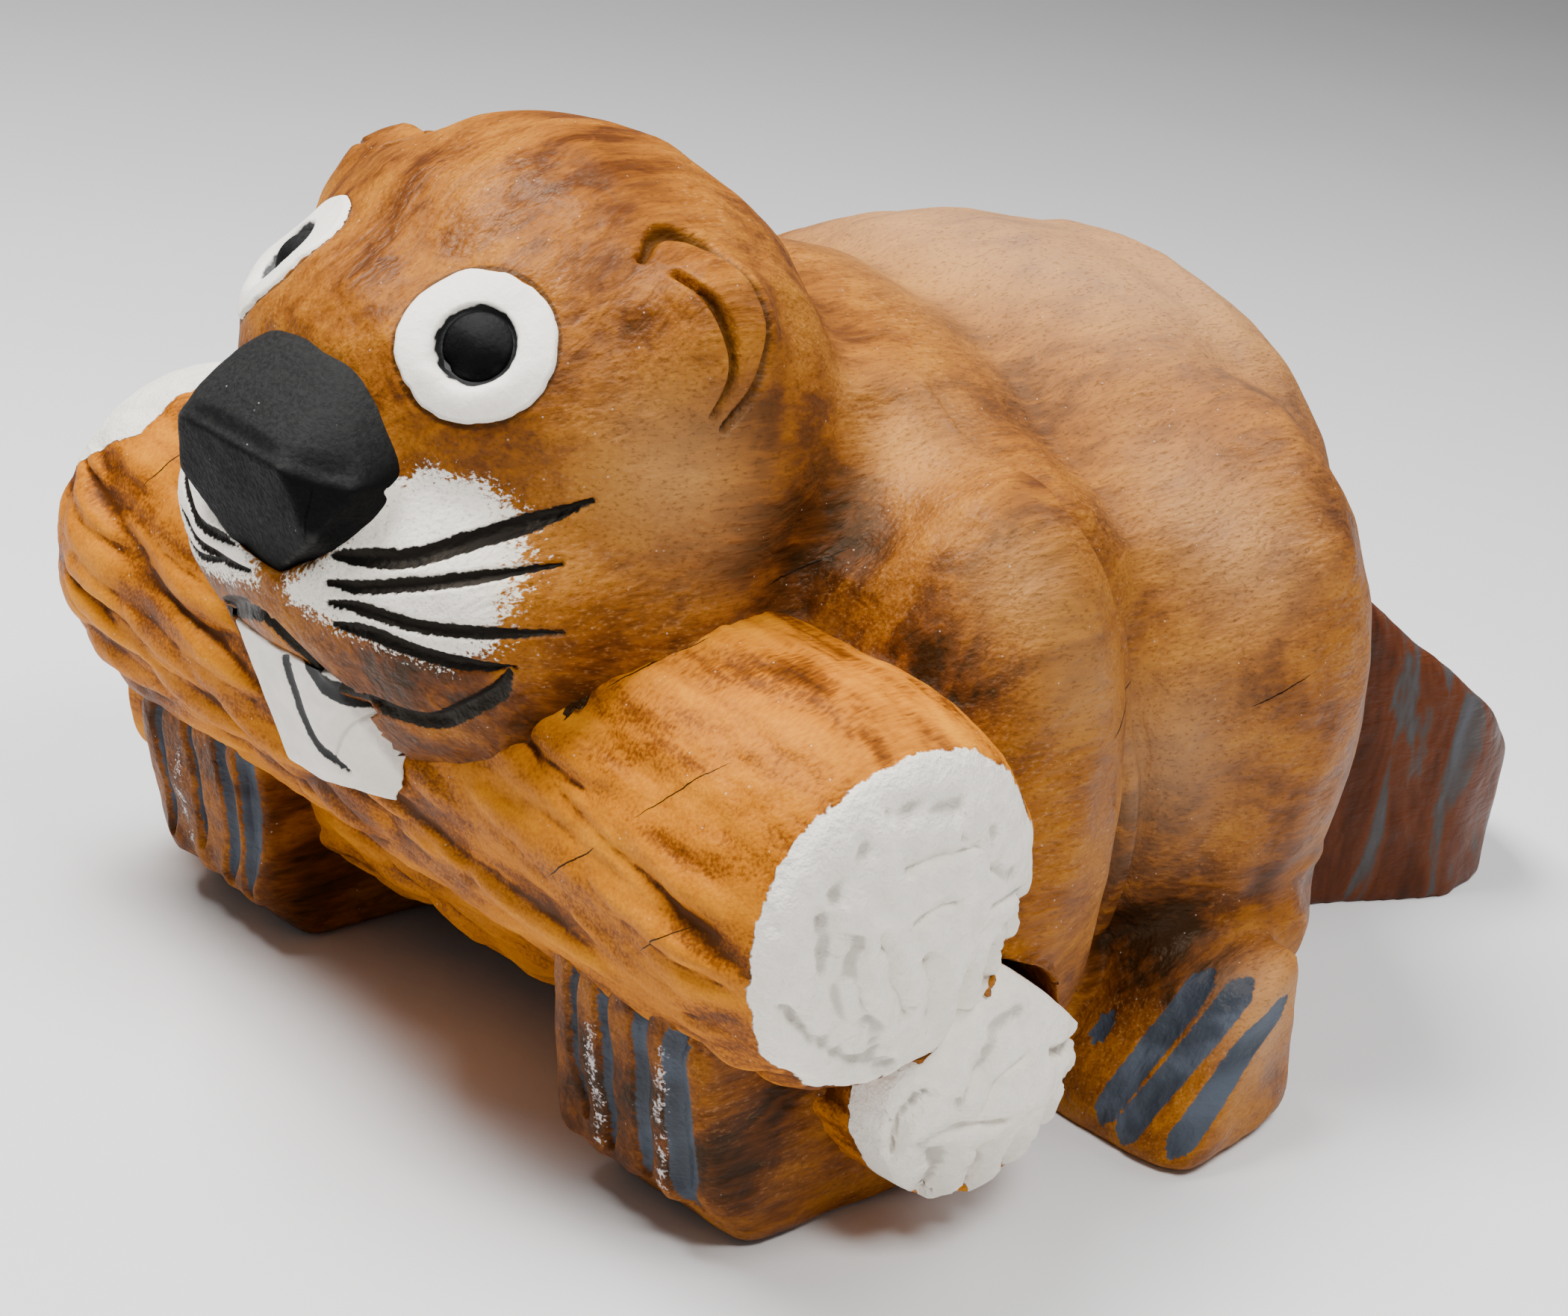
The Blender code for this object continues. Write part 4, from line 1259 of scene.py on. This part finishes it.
# How far behind the arm's edge the step runs out.
ARM_STEP_WIDTH = 0.034
surfaces = {}


def finish_piece(piece, slot, *nodes):
    """Hands a finished piece to the frame in place of its construction solids."""
    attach(piece, "root")
    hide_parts(*nodes)


def surface_of(piece):
    """A tree of the piece's faces, to lay strokes and other pieces on."""
    places = [vert.co for vert in piece.data.vertices]
    return BVHTree.FromPolygons(places, [face.vertices for face in piece.data.polygons])


def eye_frame(side):
    """The middle of an eye and the way it looks."""
    low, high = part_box(f"pupil_{side}")
    return (low + high) / 2, Vector((0.55 * SIDES[side], -0.74, 0.38)).normalized()


def fine_place(co):
    """Where the carving is finest: the face, the ears, the fingers and the toes."""
    face = co.y < -0.265 and co.z > 0.185 and abs(co.x) < 0.125
    ear = -0.30 < co.y < -0.21 and co.z > 0.315 and abs(co.x) > 0.065
    finger = co.y < -0.255 and co.z < 0.130
    toe = abs(co.x) > 0.175 and co.y < 0.03 and co.z < 0.105
    return face or ear or finger or toe


def sink_eyes(skin):
    """Lowers the wood under each eye, so that its disc and pupil stand clear."""
    mesh = skin.data
    places = positions(mesh)
    for side in SIDES:
        centre, aim = eye_frame(side)
        arm = places - np.array(centre)
        depth = arm @ np.array(aim)
        away = np.linalg.norm(arm - depth[:, None] * np.array(aim), axis=1)
        share = np.clip((EYE_RADIUS - 0.001 - away) / 0.003, 0, 1) * (np.abs(depth) < 0.03)
        places -= (EYE_SINK * share)[:, None] * np.array(aim)
    move_to(mesh, places)


def seat_teeth(skin):
    """Presses the wood back behind the front of the teeth, and trims the jaw under each cheek."""
    mesh = skin.data
    places = positions(mesh)
    normals = normals_of(mesh)
    bm = bmesh.new()
    add_node_solid(bm, "teeth", 0.0004)
    tree = BVHTree.FromBMesh(bm)
    bm.free()
    lip_x, lip_z = np.transpose(LIP)
    mouth = (abs(places[:, 0]) < 0.06) & (places[:, 1] < -0.30) & (places[:, 2] < 0.23)
    for index in np.flatnonzero(mouth):
        x, y, z = places[index]
        hit = tree.ray_cast(Vector((x, -0.6, z)), Vector((0, 1, 0)))[0]
        if hit is None:
            continue
        share = min(1.0, max(0.0, (z - np.interp(x, lip_x, lip_z)) / 0.002 + 0.5))
        over, behind = min(y, hit.y - LIP_OVER), max(y, hit.y + WOOD_BEHIND)
        places[index, 1] = share * over + (1 - share) * behind
    for sign in SIDES.values():
        for centre, reach, depth in JAW_TRIM:
            away = np.linalg.norm(places - np.array((sign * centre[0], *centre[1:])), axis=1) / reach
            places -= normals * (depth * np.exp(-away ** 2))[:, None]
    move_to(mesh, places)
    soft = evened(mesh, [0.5] * 5)
    near = (abs(places[:, 0]) < 0.055) & (abs(places[:, 2] - 0.216) < 0.016) & (places[:, 1] < -0.33)
    places[near] = soft[near]
    move_to(mesh, places)


def step_behind_arms(skin, depth, width):
    """Cuts the body back behind each arm's rear edge, steeply at the edge and running out behind."""
    mesh = skin.data
    places = positions(mesh)
    normals = normals_of(mesh)
    for sign in SIDES.values():
        line = [Vector((sign * point.x, point.y, point.z)) for point in curve_through(ARM_EDGE, 0.008)]
        tree = tree_of([(first + second) / 2 for first, second in zip(line, line[1:])])
        for index in np.flatnonzero((sign * places[:, 0] > 0.03) & (abs(places[:, 1] + 0.08) < 0.12)):
            place = Vector(places[index])
            middle, segment, away = tree.find(place)
            if away > width * 1.3:
                continue
            normal = Vector(normals[index])
            behind = sign * normal.cross(line[segment + 1] - line[segment]).normalized()
            past = (place - middle).dot(behind)
            rise = min(1.0, max(0.0, (past + 0.002) / 0.006))
            fall = min(1.0, max(0.0, (width - past) / (width - 0.004)))
            bulge = 0.0015 * max(0.0, 1.0 - abs(past + 0.007) / 0.006)
            cut = depth * rise * rise * (3 - 2 * rise) * fall * fall
            fade = min(1.0, max(0.0, (segment - 1) / 9)) ** 2
            places[index] += normal * (bulge - cut) * fade
    move_to(mesh, places)


def tail_distance(places):
    """Negative on the tail, positive off it."""
    x, y, z = places.T
    half = np.interp(y, (0.130, 0.241, 0.316, 0.362, 0.400), (0.085, 0.110, 0.141, 0.132, 0.092))
    top = 0.239 - (y - 0.150) * 0.724
    return np.maximum.reduce([z - top - 0.010, 0.150 - y, np.abs(x) - half - 0.010])


def cheek_distance(mesh):
    """Negative inside the white cheek patches, which lie on the front of the face."""
    places = positions(mesh)
    flat = places[:, (0, 2)]
    away = np.minimum(outline_distance(flat, CHEEKS["left"]), outline_distance(flat, CHEEKS["right"]))
    behind = (places[:, 1] > -0.255) | (normals_of(mesh)[:, 1] > 0.15)
    return np.where(behind, 0.05, away)


def paint_numbers(skin):
    """Keeps what the stain and paint need to know of each vertex."""
    mesh = skin.data
    places = positions(mesh)
    # How deep each vertex lies, at a small and a broad scale, for the painted shade in hollows and
    # creases.
    store(mesh, "hollow", hollow_of(mesh, 10))
    store(mesh, "crease", hollow_of(mesh, 90))
    store(mesh, "dark_cloud", cloud_sum(places, DARK_STAIN_AND_SHADE))
    store(mesh, "pale_cloud", cloud_sum(places, PALE_CLOUDS))
    store(mesh, "tail", tail_distance(places))
    store(mesh, "cheek", cheek_distance(mesh))


FINE_STROKES = ("ear", "mouth", "whisker", "claw", "toe")


def skin_strokes(tree):
    """All the strokes of the skin, by the name of the number that they leave."""
    groups = {name: Strokes(name, tree) for name in ("valley", *FINE_STROKES, "chalk", "ring")}
    for side, sign in SIDES.items():
        for half_width, points in WHISKERS[side]:
            groups["whisker"].lay(points, half_width, "front")
        for half_width, points in VALLEYS:
            groups["valley"].lay(points, half_width, "side", sign)
        for half_width, points in TOES:
            mirrored = [(sign * x, y, z) for x, y, z in points]
            groups["toe"].snap(mirrored, half_width, start_taper=0.12, end_taper=0.1)
        # The ear's cuts, which the skin's paint fills with painted shade.
        groups["ear"].lay(EAR_OUTER, 0.0036, "side", sign)
        groups["ear"].lay(EAR_INNER, 0.0022, "side", sign)
        centre, aim = eye_frame(side)
        # The shallow cut round each eye's disc, which the skin's paint fills with painted shade.
        groups["ring"].ring(centre, aim, EYE_RADIUS + 0.0004, 0.0012)
    for half_width, points in MOUTH:
        groups["mouth"].lay(points, half_width, "front", start_taper=0.1, end_taper=0.2)
    for half_width, points in CLAWS:
        groups["claw"].lay(points, half_width, "front", start_taper=0.06, end_taper=0.3)
    for half_width, points in CHALK:
        groups["chalk"].lay(points, half_width, "front")
    return groups


class CARVE_OT_skin(bpy.types.Operator):
    """Fuses the beaver's wood into one skin, then carves its strokes and paints it"""

    bl_idname = "carve.skin"
    bl_label = "Body"

    def execute(self, context):
        settings = context.scene.carve_skin
        material = skin_material(context.scene.carve_paint)
        skin = fused_skin(settings)
        skin.data.materials.append(material)
        edge = tree_of(curve_through(ARM_EDGE, 0.008))
        refine(skin, lambda co: co.y > -0.2 and edge.find((abs(co.x), co.y, co.z))[2] < 0.018)
        refine(skin, fine_place)
        run_tree(skin, relief_tree(), height=settings.tool_marks, size=0.045, seed=3.0,
                 material=material)
        apply_modifiers(skin)
        seat_teeth(skin)
        step_behind_arms(skin, settings.arm_step, ARM_STEP_WIDTH)
        surfaces["skin"] = surface_of(skin)
        groups = skin_strokes(surfaces["skin"])
        close = tree_of([point for name in FINE_STROKES for point in groups[name].points])
        refine(skin, lambda co: fine_place(co) and close.find(co)[2] < 0.0075)
        sink_eyes(skin)
        groove = settings.groove
        shapes = {
            "valley": (0.0060, 0.014), "ear": (0.0058, 0.002), "mouth": (groove * 1.5, 0.0012),
            "whisker": (groove, 0.0012), "claw": (groove * 2.0, 0.0024), "toe": (groove * 0.6, 0.002),
            "chalk": (0.0, 0.0012), "ring": (0.0008, 0.0012),
        }
        cuts = []
        for name, strokes in groups.items():
            depth, shoulder = shapes[name]
            cuts.append((strokes, {"depth": depth, "shoulder": shoulder, "name": name}))
        carve(skin, material, cuts)
        skin.data.shade_smooth()
        paint_numbers(skin)
        finish_piece(skin, "stained_wood", *FLESH)
        return {"FINISHED"}


def disc(name, side, radii, steps, height, outline):
    """A round plate laid on the face about an eye's middle, closed underneath."""
    centre, aim = eye_frame(side)
    across = aim.cross(Vector((0, 0, 1))).normalized()
    upright = across.cross(aim)
    verts = []
    for radius in radii:
        for step in range(steps):
            turn = math.tau * step / steps
            reach = radius * outline(turn, radius)
            spot = centre + (across * math.cos(turn) + upright * math.sin(turn)) * reach
            hit = surfaces["skin"].ray_cast(spot + aim * 0.05, -aim)[0]
            verts.append((hit or spot) + aim * height(radius))
    verts += [vert - aim * DISC_ROOT for vert in verts[-steps:]]
    top = surfaces["skin"].ray_cast(centre + aim * 0.05, -aim)[0] or centre
    verts += [top + aim * height(0.0), top - aim * DISC_ROOT]
    rings = len(radii) + 1
    faces = []
    for ring in range(rings - 1):
        for step in range(steps):
            after = (step + 1) % steps
            first = ring * steps
            faces.append((first + step, first + steps + step, first + steps + after, first + after))
    for step in range(steps):
        after = (step + 1) % steps
        last = (rings - 1) * steps
        faces.append((len(verts) - 2, step, after))
        faces.append((len(verts) - 1, last + after, last + step))
    mesh = closed_mesh(name, verts, faces)
    away = [0.0] * len(verts)
    for ring, radius in enumerate(list(radii) + [radii[-1]]):
        away[ring * steps:(ring + 1) * steps] = [radius - EYE_HOLE] * steps
    away[-2:] = [-EYE_HOLE, -EYE_HOLE]
    store(mesh, "from_ring", away)
    return new_piece(name, mesh)


def hand_cut_outline(seed, sign):
    """A round outline that strays from a true circle towards its edge, as a hand-cut one does."""
    corners = 48
    uneven = np.random.default_rng(seed).normal(0, 1, corners)

    def outline(turn, radius):
        spot = turn / math.tau * corners
        before, after = uneven[int(spot) % corners], uneven[(int(spot) + 1) % corners]
        jag = before + (after - before) * (spot % 1.0)
        swell = 0.020 * math.sin(2 * turn + sign) + 0.014 * math.sin(5 * turn + 2.0)
        return 1.0 + (swell + 0.011 * jag) * (radius / EYE_RADIUS) ** 3

    return outline


def plate_height(radius):
    """The white disc's height: flat, rounded at its edge, and cut down round the pupil."""
    rim = min(1.0, max(0.0, (EYE_RADIUS - radius) / EYE_ROUNDING))
    step = min(1.0, max(0.0, (radius - EYE_HOLE + 0.0012) / 0.0018))
    return -0.0012 + 0.0024 * math.sqrt(1.0 - (1.0 - rim) ** 2) - 0.0034 * (1.0 - step)


def dome_height(radius):
    """The pupil's height: a low dome, steep at its edge."""
    return -0.0036 + 0.0072 * math.sqrt(max(0.0, 1.0 - 0.97 * (radius / PUPIL_RADIUS) ** 2))


class CARVE_OT_eyes(bpy.types.Operator):
    """Lays the white discs on the face and sets a domed black pupil in each"""

    bl_idname = "carve.eyes"
    bl_label = "Eyes"

    def execute(self, context):
        paint = context.scene.carve_paint
        white = eye_material(paint)
        black = black_material(paint)
        for side, sign in SIDES.items():
            flat = np.linspace(0.0100, EYE_RADIUS - 0.0020, 20)
            rounding = np.linspace(EYE_RADIUS - EYE_ROUNDING, EYE_RADIUS, 7)
            eye = disc(f"eye_disc_{side}", side, [*flat, *rounding], 120, plate_height,
                       hand_cut_outline(5 if side == "left" else 8, sign))
            eye.data.materials.append(white)
            finish_piece(eye, "white_paint", f"eye_{side}")
            rings = list(PUPIL_RADIUS * np.sin(np.linspace(0.1, math.pi / 2, 18)))
            pupil = disc(f"eye_pupil_{side}", side, rings, 64, dome_height, lambda turn, radius: 1.0)
            pupil.data.materials.append(black)
            # How deep each point lies, for the paler edges of wear and painted highlight.
            store(pupil.data, "hollow", hollow_of(pupil.data, 4))
            store(pupil.data, "upward", np.clip(normals_of(pupil.data)[:, 2], 0, 1) ** 2)
            finish_piece(pupil, "black_paint", f"pupil_{side}")
        return {"FINISHED"}


def carved_block(name, node, voxel, rounds):
    """A construction solid as a finely meshed block with worn edges."""
    bm = bmesh.new()
    add_node_solid(bm, node, 0.0004)
    block = new_piece(name, bm)
    remesh = block.modifiers.new("Fine Mesh", "REMESH")
    remesh.mode = "VOXEL"
    remesh.voxel_size = voxel
    soften = block.modifiers.new("Worn Edges", "SMOOTH")
    soften.factor = 0.5
    soften.iterations = rounds
    apply_modifiers(block)
    return block


class CARVE_OT_nose(bpy.types.Operator):
    """Cuts the faceted black nose"""

    bl_idname = "carve.nose"
    bl_label = "Nose"

    def execute(self, context):
        material = bpy.data.materials.get("carved_black") or black_material(context.scene.carve_paint)
        nose = carved_block("nose_block", "nose", 0.0013, 14)
        nose.data.materials.append(material)
        places = positions(nose.data)
        rounded = evened(nose.data, [0.5] * 200) + 0.0026 * normals_of(nose.data)
        move_to(nose.data, rounded)
        topside = np.clip((normals_of(nose.data)[:, 2] - 0.42) / 0.22, 0, 1)
        behind = np.clip((places[:, 1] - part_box("nose")[0].y - 0.020) / 0.016, 0, 1)
        share = np.maximum(topside, behind)[:, None]
        move_to(nose.data, places + share * (rounded - places))
        run_tree(nose, relief_tree(), height=0.0008, size=0.020, seed=7.0, material=material)
        apply_modifiers(nose)
        nose.data.shade_smooth()
        # How deep each point lies, for the paler edges of wear and painted highlight.
        store(nose.data, "hollow", hollow_of(nose.data, 16))
        store(nose.data, "upward", np.clip((normals_of(nose.data)[:, 2] - 0.15) / 0.5, 0, 1))
        finish_piece(nose, "black_paint", "nose")
        return {"FINISHED"}


class CARVE_OT_teeth(bpy.types.Operator):
    """Cuts the white block of the two front teeth, with the black line between them"""

    bl_idname = "carve.teeth"
    bl_label = "Teeth"

    def execute(self, context):
        material = white_material(context.scene.carve_paint)
        teeth = carved_block("teeth_block", "teeth", 0.0011, 6)
        teeth.data.materials.append(material)
        run_tree(teeth, relief_tree(), height=0.0009, size=0.022, seed=11.0, material=material)
        apply_modifiers(teeth)
        tree = surface_of(teeth)
        cuts = []
        for name, (half_width, points), depth in (
                ("line", TEETH_LINE, 0.0012), ("crease", TEETH_CREASE, 0.0009)):
            strokes = Strokes(name, tree)
            strokes.lay(points, half_width, "front", start_taper=0.05, end_taper=0.3)
            if name == "line":
                strokes.lay(LIP, 0.0048, "front", start_taper=0.1, end_taper=0.1)
            cuts.append((strokes, {"depth": depth, "shoulder": 0.0006, "name": name}))
        carve(teeth, material, cuts)
        teeth.data.shade_smooth()
        store(teeth.data, "hollow", hollow_of(teeth.data, 12))
        finish_piece(teeth, "white_paint", "teeth")
        return {"FINISHED"}


# ---------------------------------------------------------------- logs


CAP_RINGS = 46
# How the logs differ: the seed of their folds, how far the white runs in over the front of the left end
# and over the top of the right end, where the left tip is shaved off, and the cuts in their ends.
LOG_WAYS = {
    "log_upper": {"seed": 2.0, "front_white": 0.010, "top_white": 0.050, "shave": 1.0,
                  "cuts": UPPER_TIP_CUTS},
    "log_lower": {"seed": 6.0, "front_white": 0.026, "top_white": 0.0, "shave": 0.040,
                  "cuts": LOWER_TIP_CUTS},
}


def split_log(whole, name, cut):
    """Parts a whole log at the seams of its tips, and closes each part's ends."""
    parts = {}
    places = positions(whole.data)
    far = places[:, 0] < -0.2
    places[far, 0] = -0.2 + (places[far, 0] + 0.2) * FAR_END_SCALE
    move_to(whole.data, places)
    right_cut = 0.2 + (cut - 0.2) * FAR_END_SCALE
    for part, keep in ((name, lambda x: -right_cut < x < cut), (f"{name}_tip_left", lambda x: x > cut),
                       (f"{name}_tip_right", lambda x: x < -right_cut)):
        bm = bmesh.new()
        bm.from_mesh(whole.data)
        gone = [face for face in bm.faces if not keep(face.calc_center_median().x)]
        bmesh.ops.delete(bm, geom=gone, context="FACES")
        bmesh.ops.delete(bm, geom=[vert for vert in bm.verts if not vert.link_faces], context="VERTS")
        rims = [edge for edge in bm.edges if edge.is_boundary]
        caps = bmesh.ops.holes_fill(bm, edges=rims, sides=0)["faces"]
        for edge in rims:
            edge.smooth = False
        bmesh.ops.triangulate(bm, faces=caps)
        for face in bm.faces:
            face.smooth = True
        mesh = bpy.data.meshes.new(part)
        bm.to_mesh(mesh)
        bm.free()
        mesh.materials.append(whole.data.materials[0])
        piece = bpy.data.objects.new("wood_" + part, mesh)
        bpy.context.scene.collection.objects.link(piece)
        parts[part] = piece
    bpy.data.objects.remove(whole)
    return parts


def gouged_log(name, settings, material):
    """A whole log with fine rings of points over its ends, gouged all over."""
    start, end, seam, middle = log_line(name)
    half = (end.x - start.x) / 2
    straight = half - TIP_DEPTH
    edge = log_radius(0.0, seam, middle)
    cap = [(half - 0.0030 * (radius / edge) ** 2, radius)
           for radius in np.linspace(0.001, edge, CAP_RINGS)[:-1]]
    rounding = [(half - inward, log_radius(inward - 0.0030, seam, middle))
                for inward in np.linspace(0.0032, 0.018, 12)]
    body = [(x, log_radius(half - abs(x), seam, middle))
            for x in np.linspace(-straight, straight, int(2 * straight / settings.mesh_size))]
    right = [(-x, radius) for x, radius in cap + rounding]
    left = [(x, radius) for x, radius in reversed(cap + rounding)]
    sides = int(math.tau * middle / settings.mesh_size)
    whole = turned(name + "_whole", start, end, right + body + left, sides)
    whole.data.materials.append(material)
    clamp = (half - LOG_TAPER) / half
    centre = (start + end) / 2
    run_tree(whole, gouging_tree(), axis_start=centre + (start - centre) * clamp,
             axis_end=centre + (end - centre) * clamp, depth=settings.gouge_depth,
             length=settings.gouge_length, width=settings.gouge_width, slant=0.22,
             seed=LOG_WAYS[name]["seed"], material=material)
    apply_modifiers(whole)
    return whole


def shape_ends(whole, name, white_reach):
    """Marks how far the white runs in, then domes both ends and shaves the lower log's tip."""
    start, end, _, middle = log_line(name)
    ways = LOG_WAYS[name]
    places = positions(whole.data)
    share = (places[:, 0] - start.x) / (end.x - start.x)
    front = (start.y + (end.y - start.y) * share - places[:, 1]) / middle
    above = (places[:, 2] - start.z - (end.z - start.z) * share) / middle
    inward = (end.x - start.x) / 2 - np.abs(places[:, 0])
    left = white_reach + ways["front_white"] * np.clip(front, 0, 1)
    right = white_reach + ways["top_white"] * np.clip((above - 0.35) / 0.35, 0, 1)
    store(whole.data, "end", inward - np.where(places[:, 0] > 0, left, right))
    dome = (END_DOME * (front ** 2 + above ** 2) - 0.005) * np.clip(1 - inward / 0.045, 0, 1)
    places[:, 0] -= np.sign(places[:, 0]) * dome
    shave_y, shave_z = 0.60, 0.80
    out = (places[:, 1] - end.y) * shave_y + (places[:, 2] - end.z) * shave_z
    over = np.maximum(out - ways["shave"], 0) * np.clip((places[:, 0] - 0.16) / 0.05, 0, 1) * 0.85
    places -= over[:, None] * np.array((0.0, shave_y, shave_z))
    move_to(whole.data, places)


def cut_ends(whole, name, material):
    """Cuts the chisel's notches into both ends."""
    start, end, _, _ = log_line(name)
    tree = surface_of(whole)
    groups = {}
    for hub, sign in ((start, -1.0), (end, 1.0)):
        for half_width, depth, points in LOG_WAYS[name]["cuts"]:
            group = groups.setdefault(depth, Strokes(f"{name}_{depth}", tree))
            found = []
            for point in curve_through([(*point, 0.0) for point in points]):
                spot = Vector((sign * 0.4, hub.y + point.x, hub.z + point.y))
                hit = tree.ray_cast(spot, Vector((-sign, 0, 0)))[0]
                if hit is not None:
                    found.append(hit)
            group.add(found, half_width, 0.5, 0.1 if depth > 0.0045 else 0.5)
    shape = {"shoulder": 0.0022, "sharpness": 1.0, "name": "cut"}
    carve(whole, material, [(strokes, {"depth": depth, **shape}) for depth, strokes in groups.items()])


def make_log(name, settings, material):
    """One log, gouged all over, with its ends cut by the chisel and painted white."""
    start, end, _, _ = log_line(name)
    whole = gouged_log(name, settings, material)
    shape_ends(whole, name, settings.white_reach)
    cut_ends(whole, name, material)
    # How deep each point lies, for the painted shade in the hollows and the painted highlight on ridges.
    store(whole.data, "hollow", hollow_of(whole.data, 8))
    return split_log(whole, name, (end.x - start.x) / 2 - TIP_DEPTH)


class CARVE_OT_logs(bpy.types.Operator):
    """Gouges the two logs and paints their gnawed ends white"""

    bl_idname = "carve.logs"
    bl_label = "Logs"

    def execute(self, context):
        settings = context.scene.carve_logs
        material = log_material(context.scene.carve_paint)
        for name in LOGS:
            for part, piece in make_log(name, settings, material).items():
                finish_piece(piece, "white_paint" if "tip" in part else "log_wood", part)
        return {"FINISHED"}


# ---------------------------------------------------------------- stage


CAMERA_PLACE = (0.93686, -1.06934, 0.69974)
# How far the camera is turned round the beaver, looks down and leans to the side, in degrees.
CAMERA_ANGLES = (43.3946, 21.7176, 8.6054)
LAMP_TARGET = Vector((0.0, 0.0, 0.15))
# Soft lamps: name, place, size, and share of the key light's power.
LAMPS = (
    ("key_light", (-0.5, -0.7, 2.0), 0.9, 1.0),
    ("fill_light", (1.2, -0.5, 2.1), 0.7, 0.50),
    ("back_light", (0.5, 1.4, 1.8), 1.2, 0.22),
)


class CARVE_OT_stage(bpy.types.Operator):
    """Sets the floor, the soft lights and the camera"""

    bl_idname = "carve.stage"
    bl_label = "Stage"

    def execute(self, context):
        settings = context.scene.carve_stage
        bm = bmesh.new()
        bmesh.ops.create_grid(bm, x_segments=8, y_segments=8, size=6.0)
        floor = new_piece("studio_floor", bm)
        material, graph, shader = new_material("studio_floor")
        paper = graph.noise(object_place(graph), 3.0, 2.0)
        tone = tuple(settings.floor_colour)
        colour = graph.mix(graph.fit(paper, 0.3, 0.7), shade(tone, 0.98), tone)
        graph.feed(shader.inputs["Base Color"], colour)
        shader.inputs["Roughness"].default_value = 0.9
        floor.data.materials.append(material)
        for name, place, size, share in LAMPS:
            lamp = bpy.data.lights.new(name, "AREA")
            lamp.size = size
            lamp.energy = settings.key_power * share
            item = bpy.data.objects.new(name, lamp)
            item.location = place
            aim = LAMP_TARGET - Vector(place)
            item.rotation_euler = aim.to_track_quat("-Z", "Y").to_euler()
            context.scene.collection.objects.link(item)
        world = bpy.data.worlds.new("soft_light")
        world.use_nodes = True
        background = world.node_tree.nodes["Background"]
        background.inputs["Color"].default_value = (1.0, 1.0, 1.0, 1.0)
        background.inputs["Strength"].default_value = settings.world_strength
        context.scene.world = world
        self.camera(context)
        return {"FINISHED"}

    def camera(self, context):
        """Stands the camera at the left of the face, a little above it, and leans it to the side."""
        turn, rise, lean = (math.radians(angle) for angle in CAMERA_ANGLES)
        back = Vector((math.sin(turn) * math.cos(rise), -math.cos(turn) * math.cos(rise),
                       math.sin(rise)))
        level = Vector((math.cos(turn), math.sin(turn), 0))
        upright = back.cross(level)
        right = math.cos(lean) * level + math.sin(lean) * upright
        above = math.cos(lean) * upright - math.sin(lean) * level
        lens = bpy.data.cameras.new("camera")
        lens.lens = 72.0
        lens.sensor_width = 36.0
        camera = bpy.data.objects.new("camera", lens)
        camera.matrix_world = Matrix.Translation(CAMERA_PLACE) @ Matrix(
            (right, above, back)).transposed().to_4x4()
        context.scene.collection.objects.link(camera)
        context.scene.camera = camera


class CARVE_PT_panel(bpy.types.Panel):
    """The carving's settings and steps"""

    bl_idname = "CARVE_PT_panel"
    bl_label = "Carved Beaver"
    bl_space_type = "VIEW_3D"
    bl_region_type = "UI"
    bl_category = "Carving"

    def draw(self, context):
        scene = context.scene
        for title, settings in (("Body", scene.carve_skin), ("Logs", scene.carve_logs),
                                ("Paint", scene.carve_paint), ("Stage", scene.carve_stage)):
            box = self.layout.box()
            box.label(text=title)
            for name in settings.bl_rna.properties.keys():
                if name not in ("rna_type", "name"):
                    box.prop(settings, name)
        for step in STEPS:
            self.layout.operator(step.bl_idname)


SETTINGS = {
    "carve_skin": SkinSettings,
    "carve_logs": LogSettings,
    "carve_paint": PaintSettings,
    "carve_stage": StageSettings,
}
STEPS = (CARVE_OT_skin, CARVE_OT_eyes, CARVE_OT_nose, CARVE_OT_teeth, CARVE_OT_logs, CARVE_OT_stage)


def register():
    for name, settings in SETTINGS.items():
        bpy.utils.register_class(settings)
        setattr(bpy.types.Scene, name, PointerProperty(type=settings))
    for kind in (*STEPS, CARVE_PT_panel):
        bpy.utils.register_class(kind)


def unregister():
    for kind in reversed((*STEPS, CARVE_PT_panel)):
        bpy.utils.unregister_class(kind)
    for name, settings in reversed(SETTINGS.items()):
        delattr(bpy.types.Scene, name)
        bpy.utils.unregister_class(settings)


def main():
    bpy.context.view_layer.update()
    register()
    bpy.ops.carve.skin()
    bpy.ops.carve.eyes()
    bpy.ops.carve.nose()
    bpy.ops.carve.teeth()
    bpy.ops.carve.logs()
    bpy.ops.carve.stage()


if __name__ == "__main__":
    main()
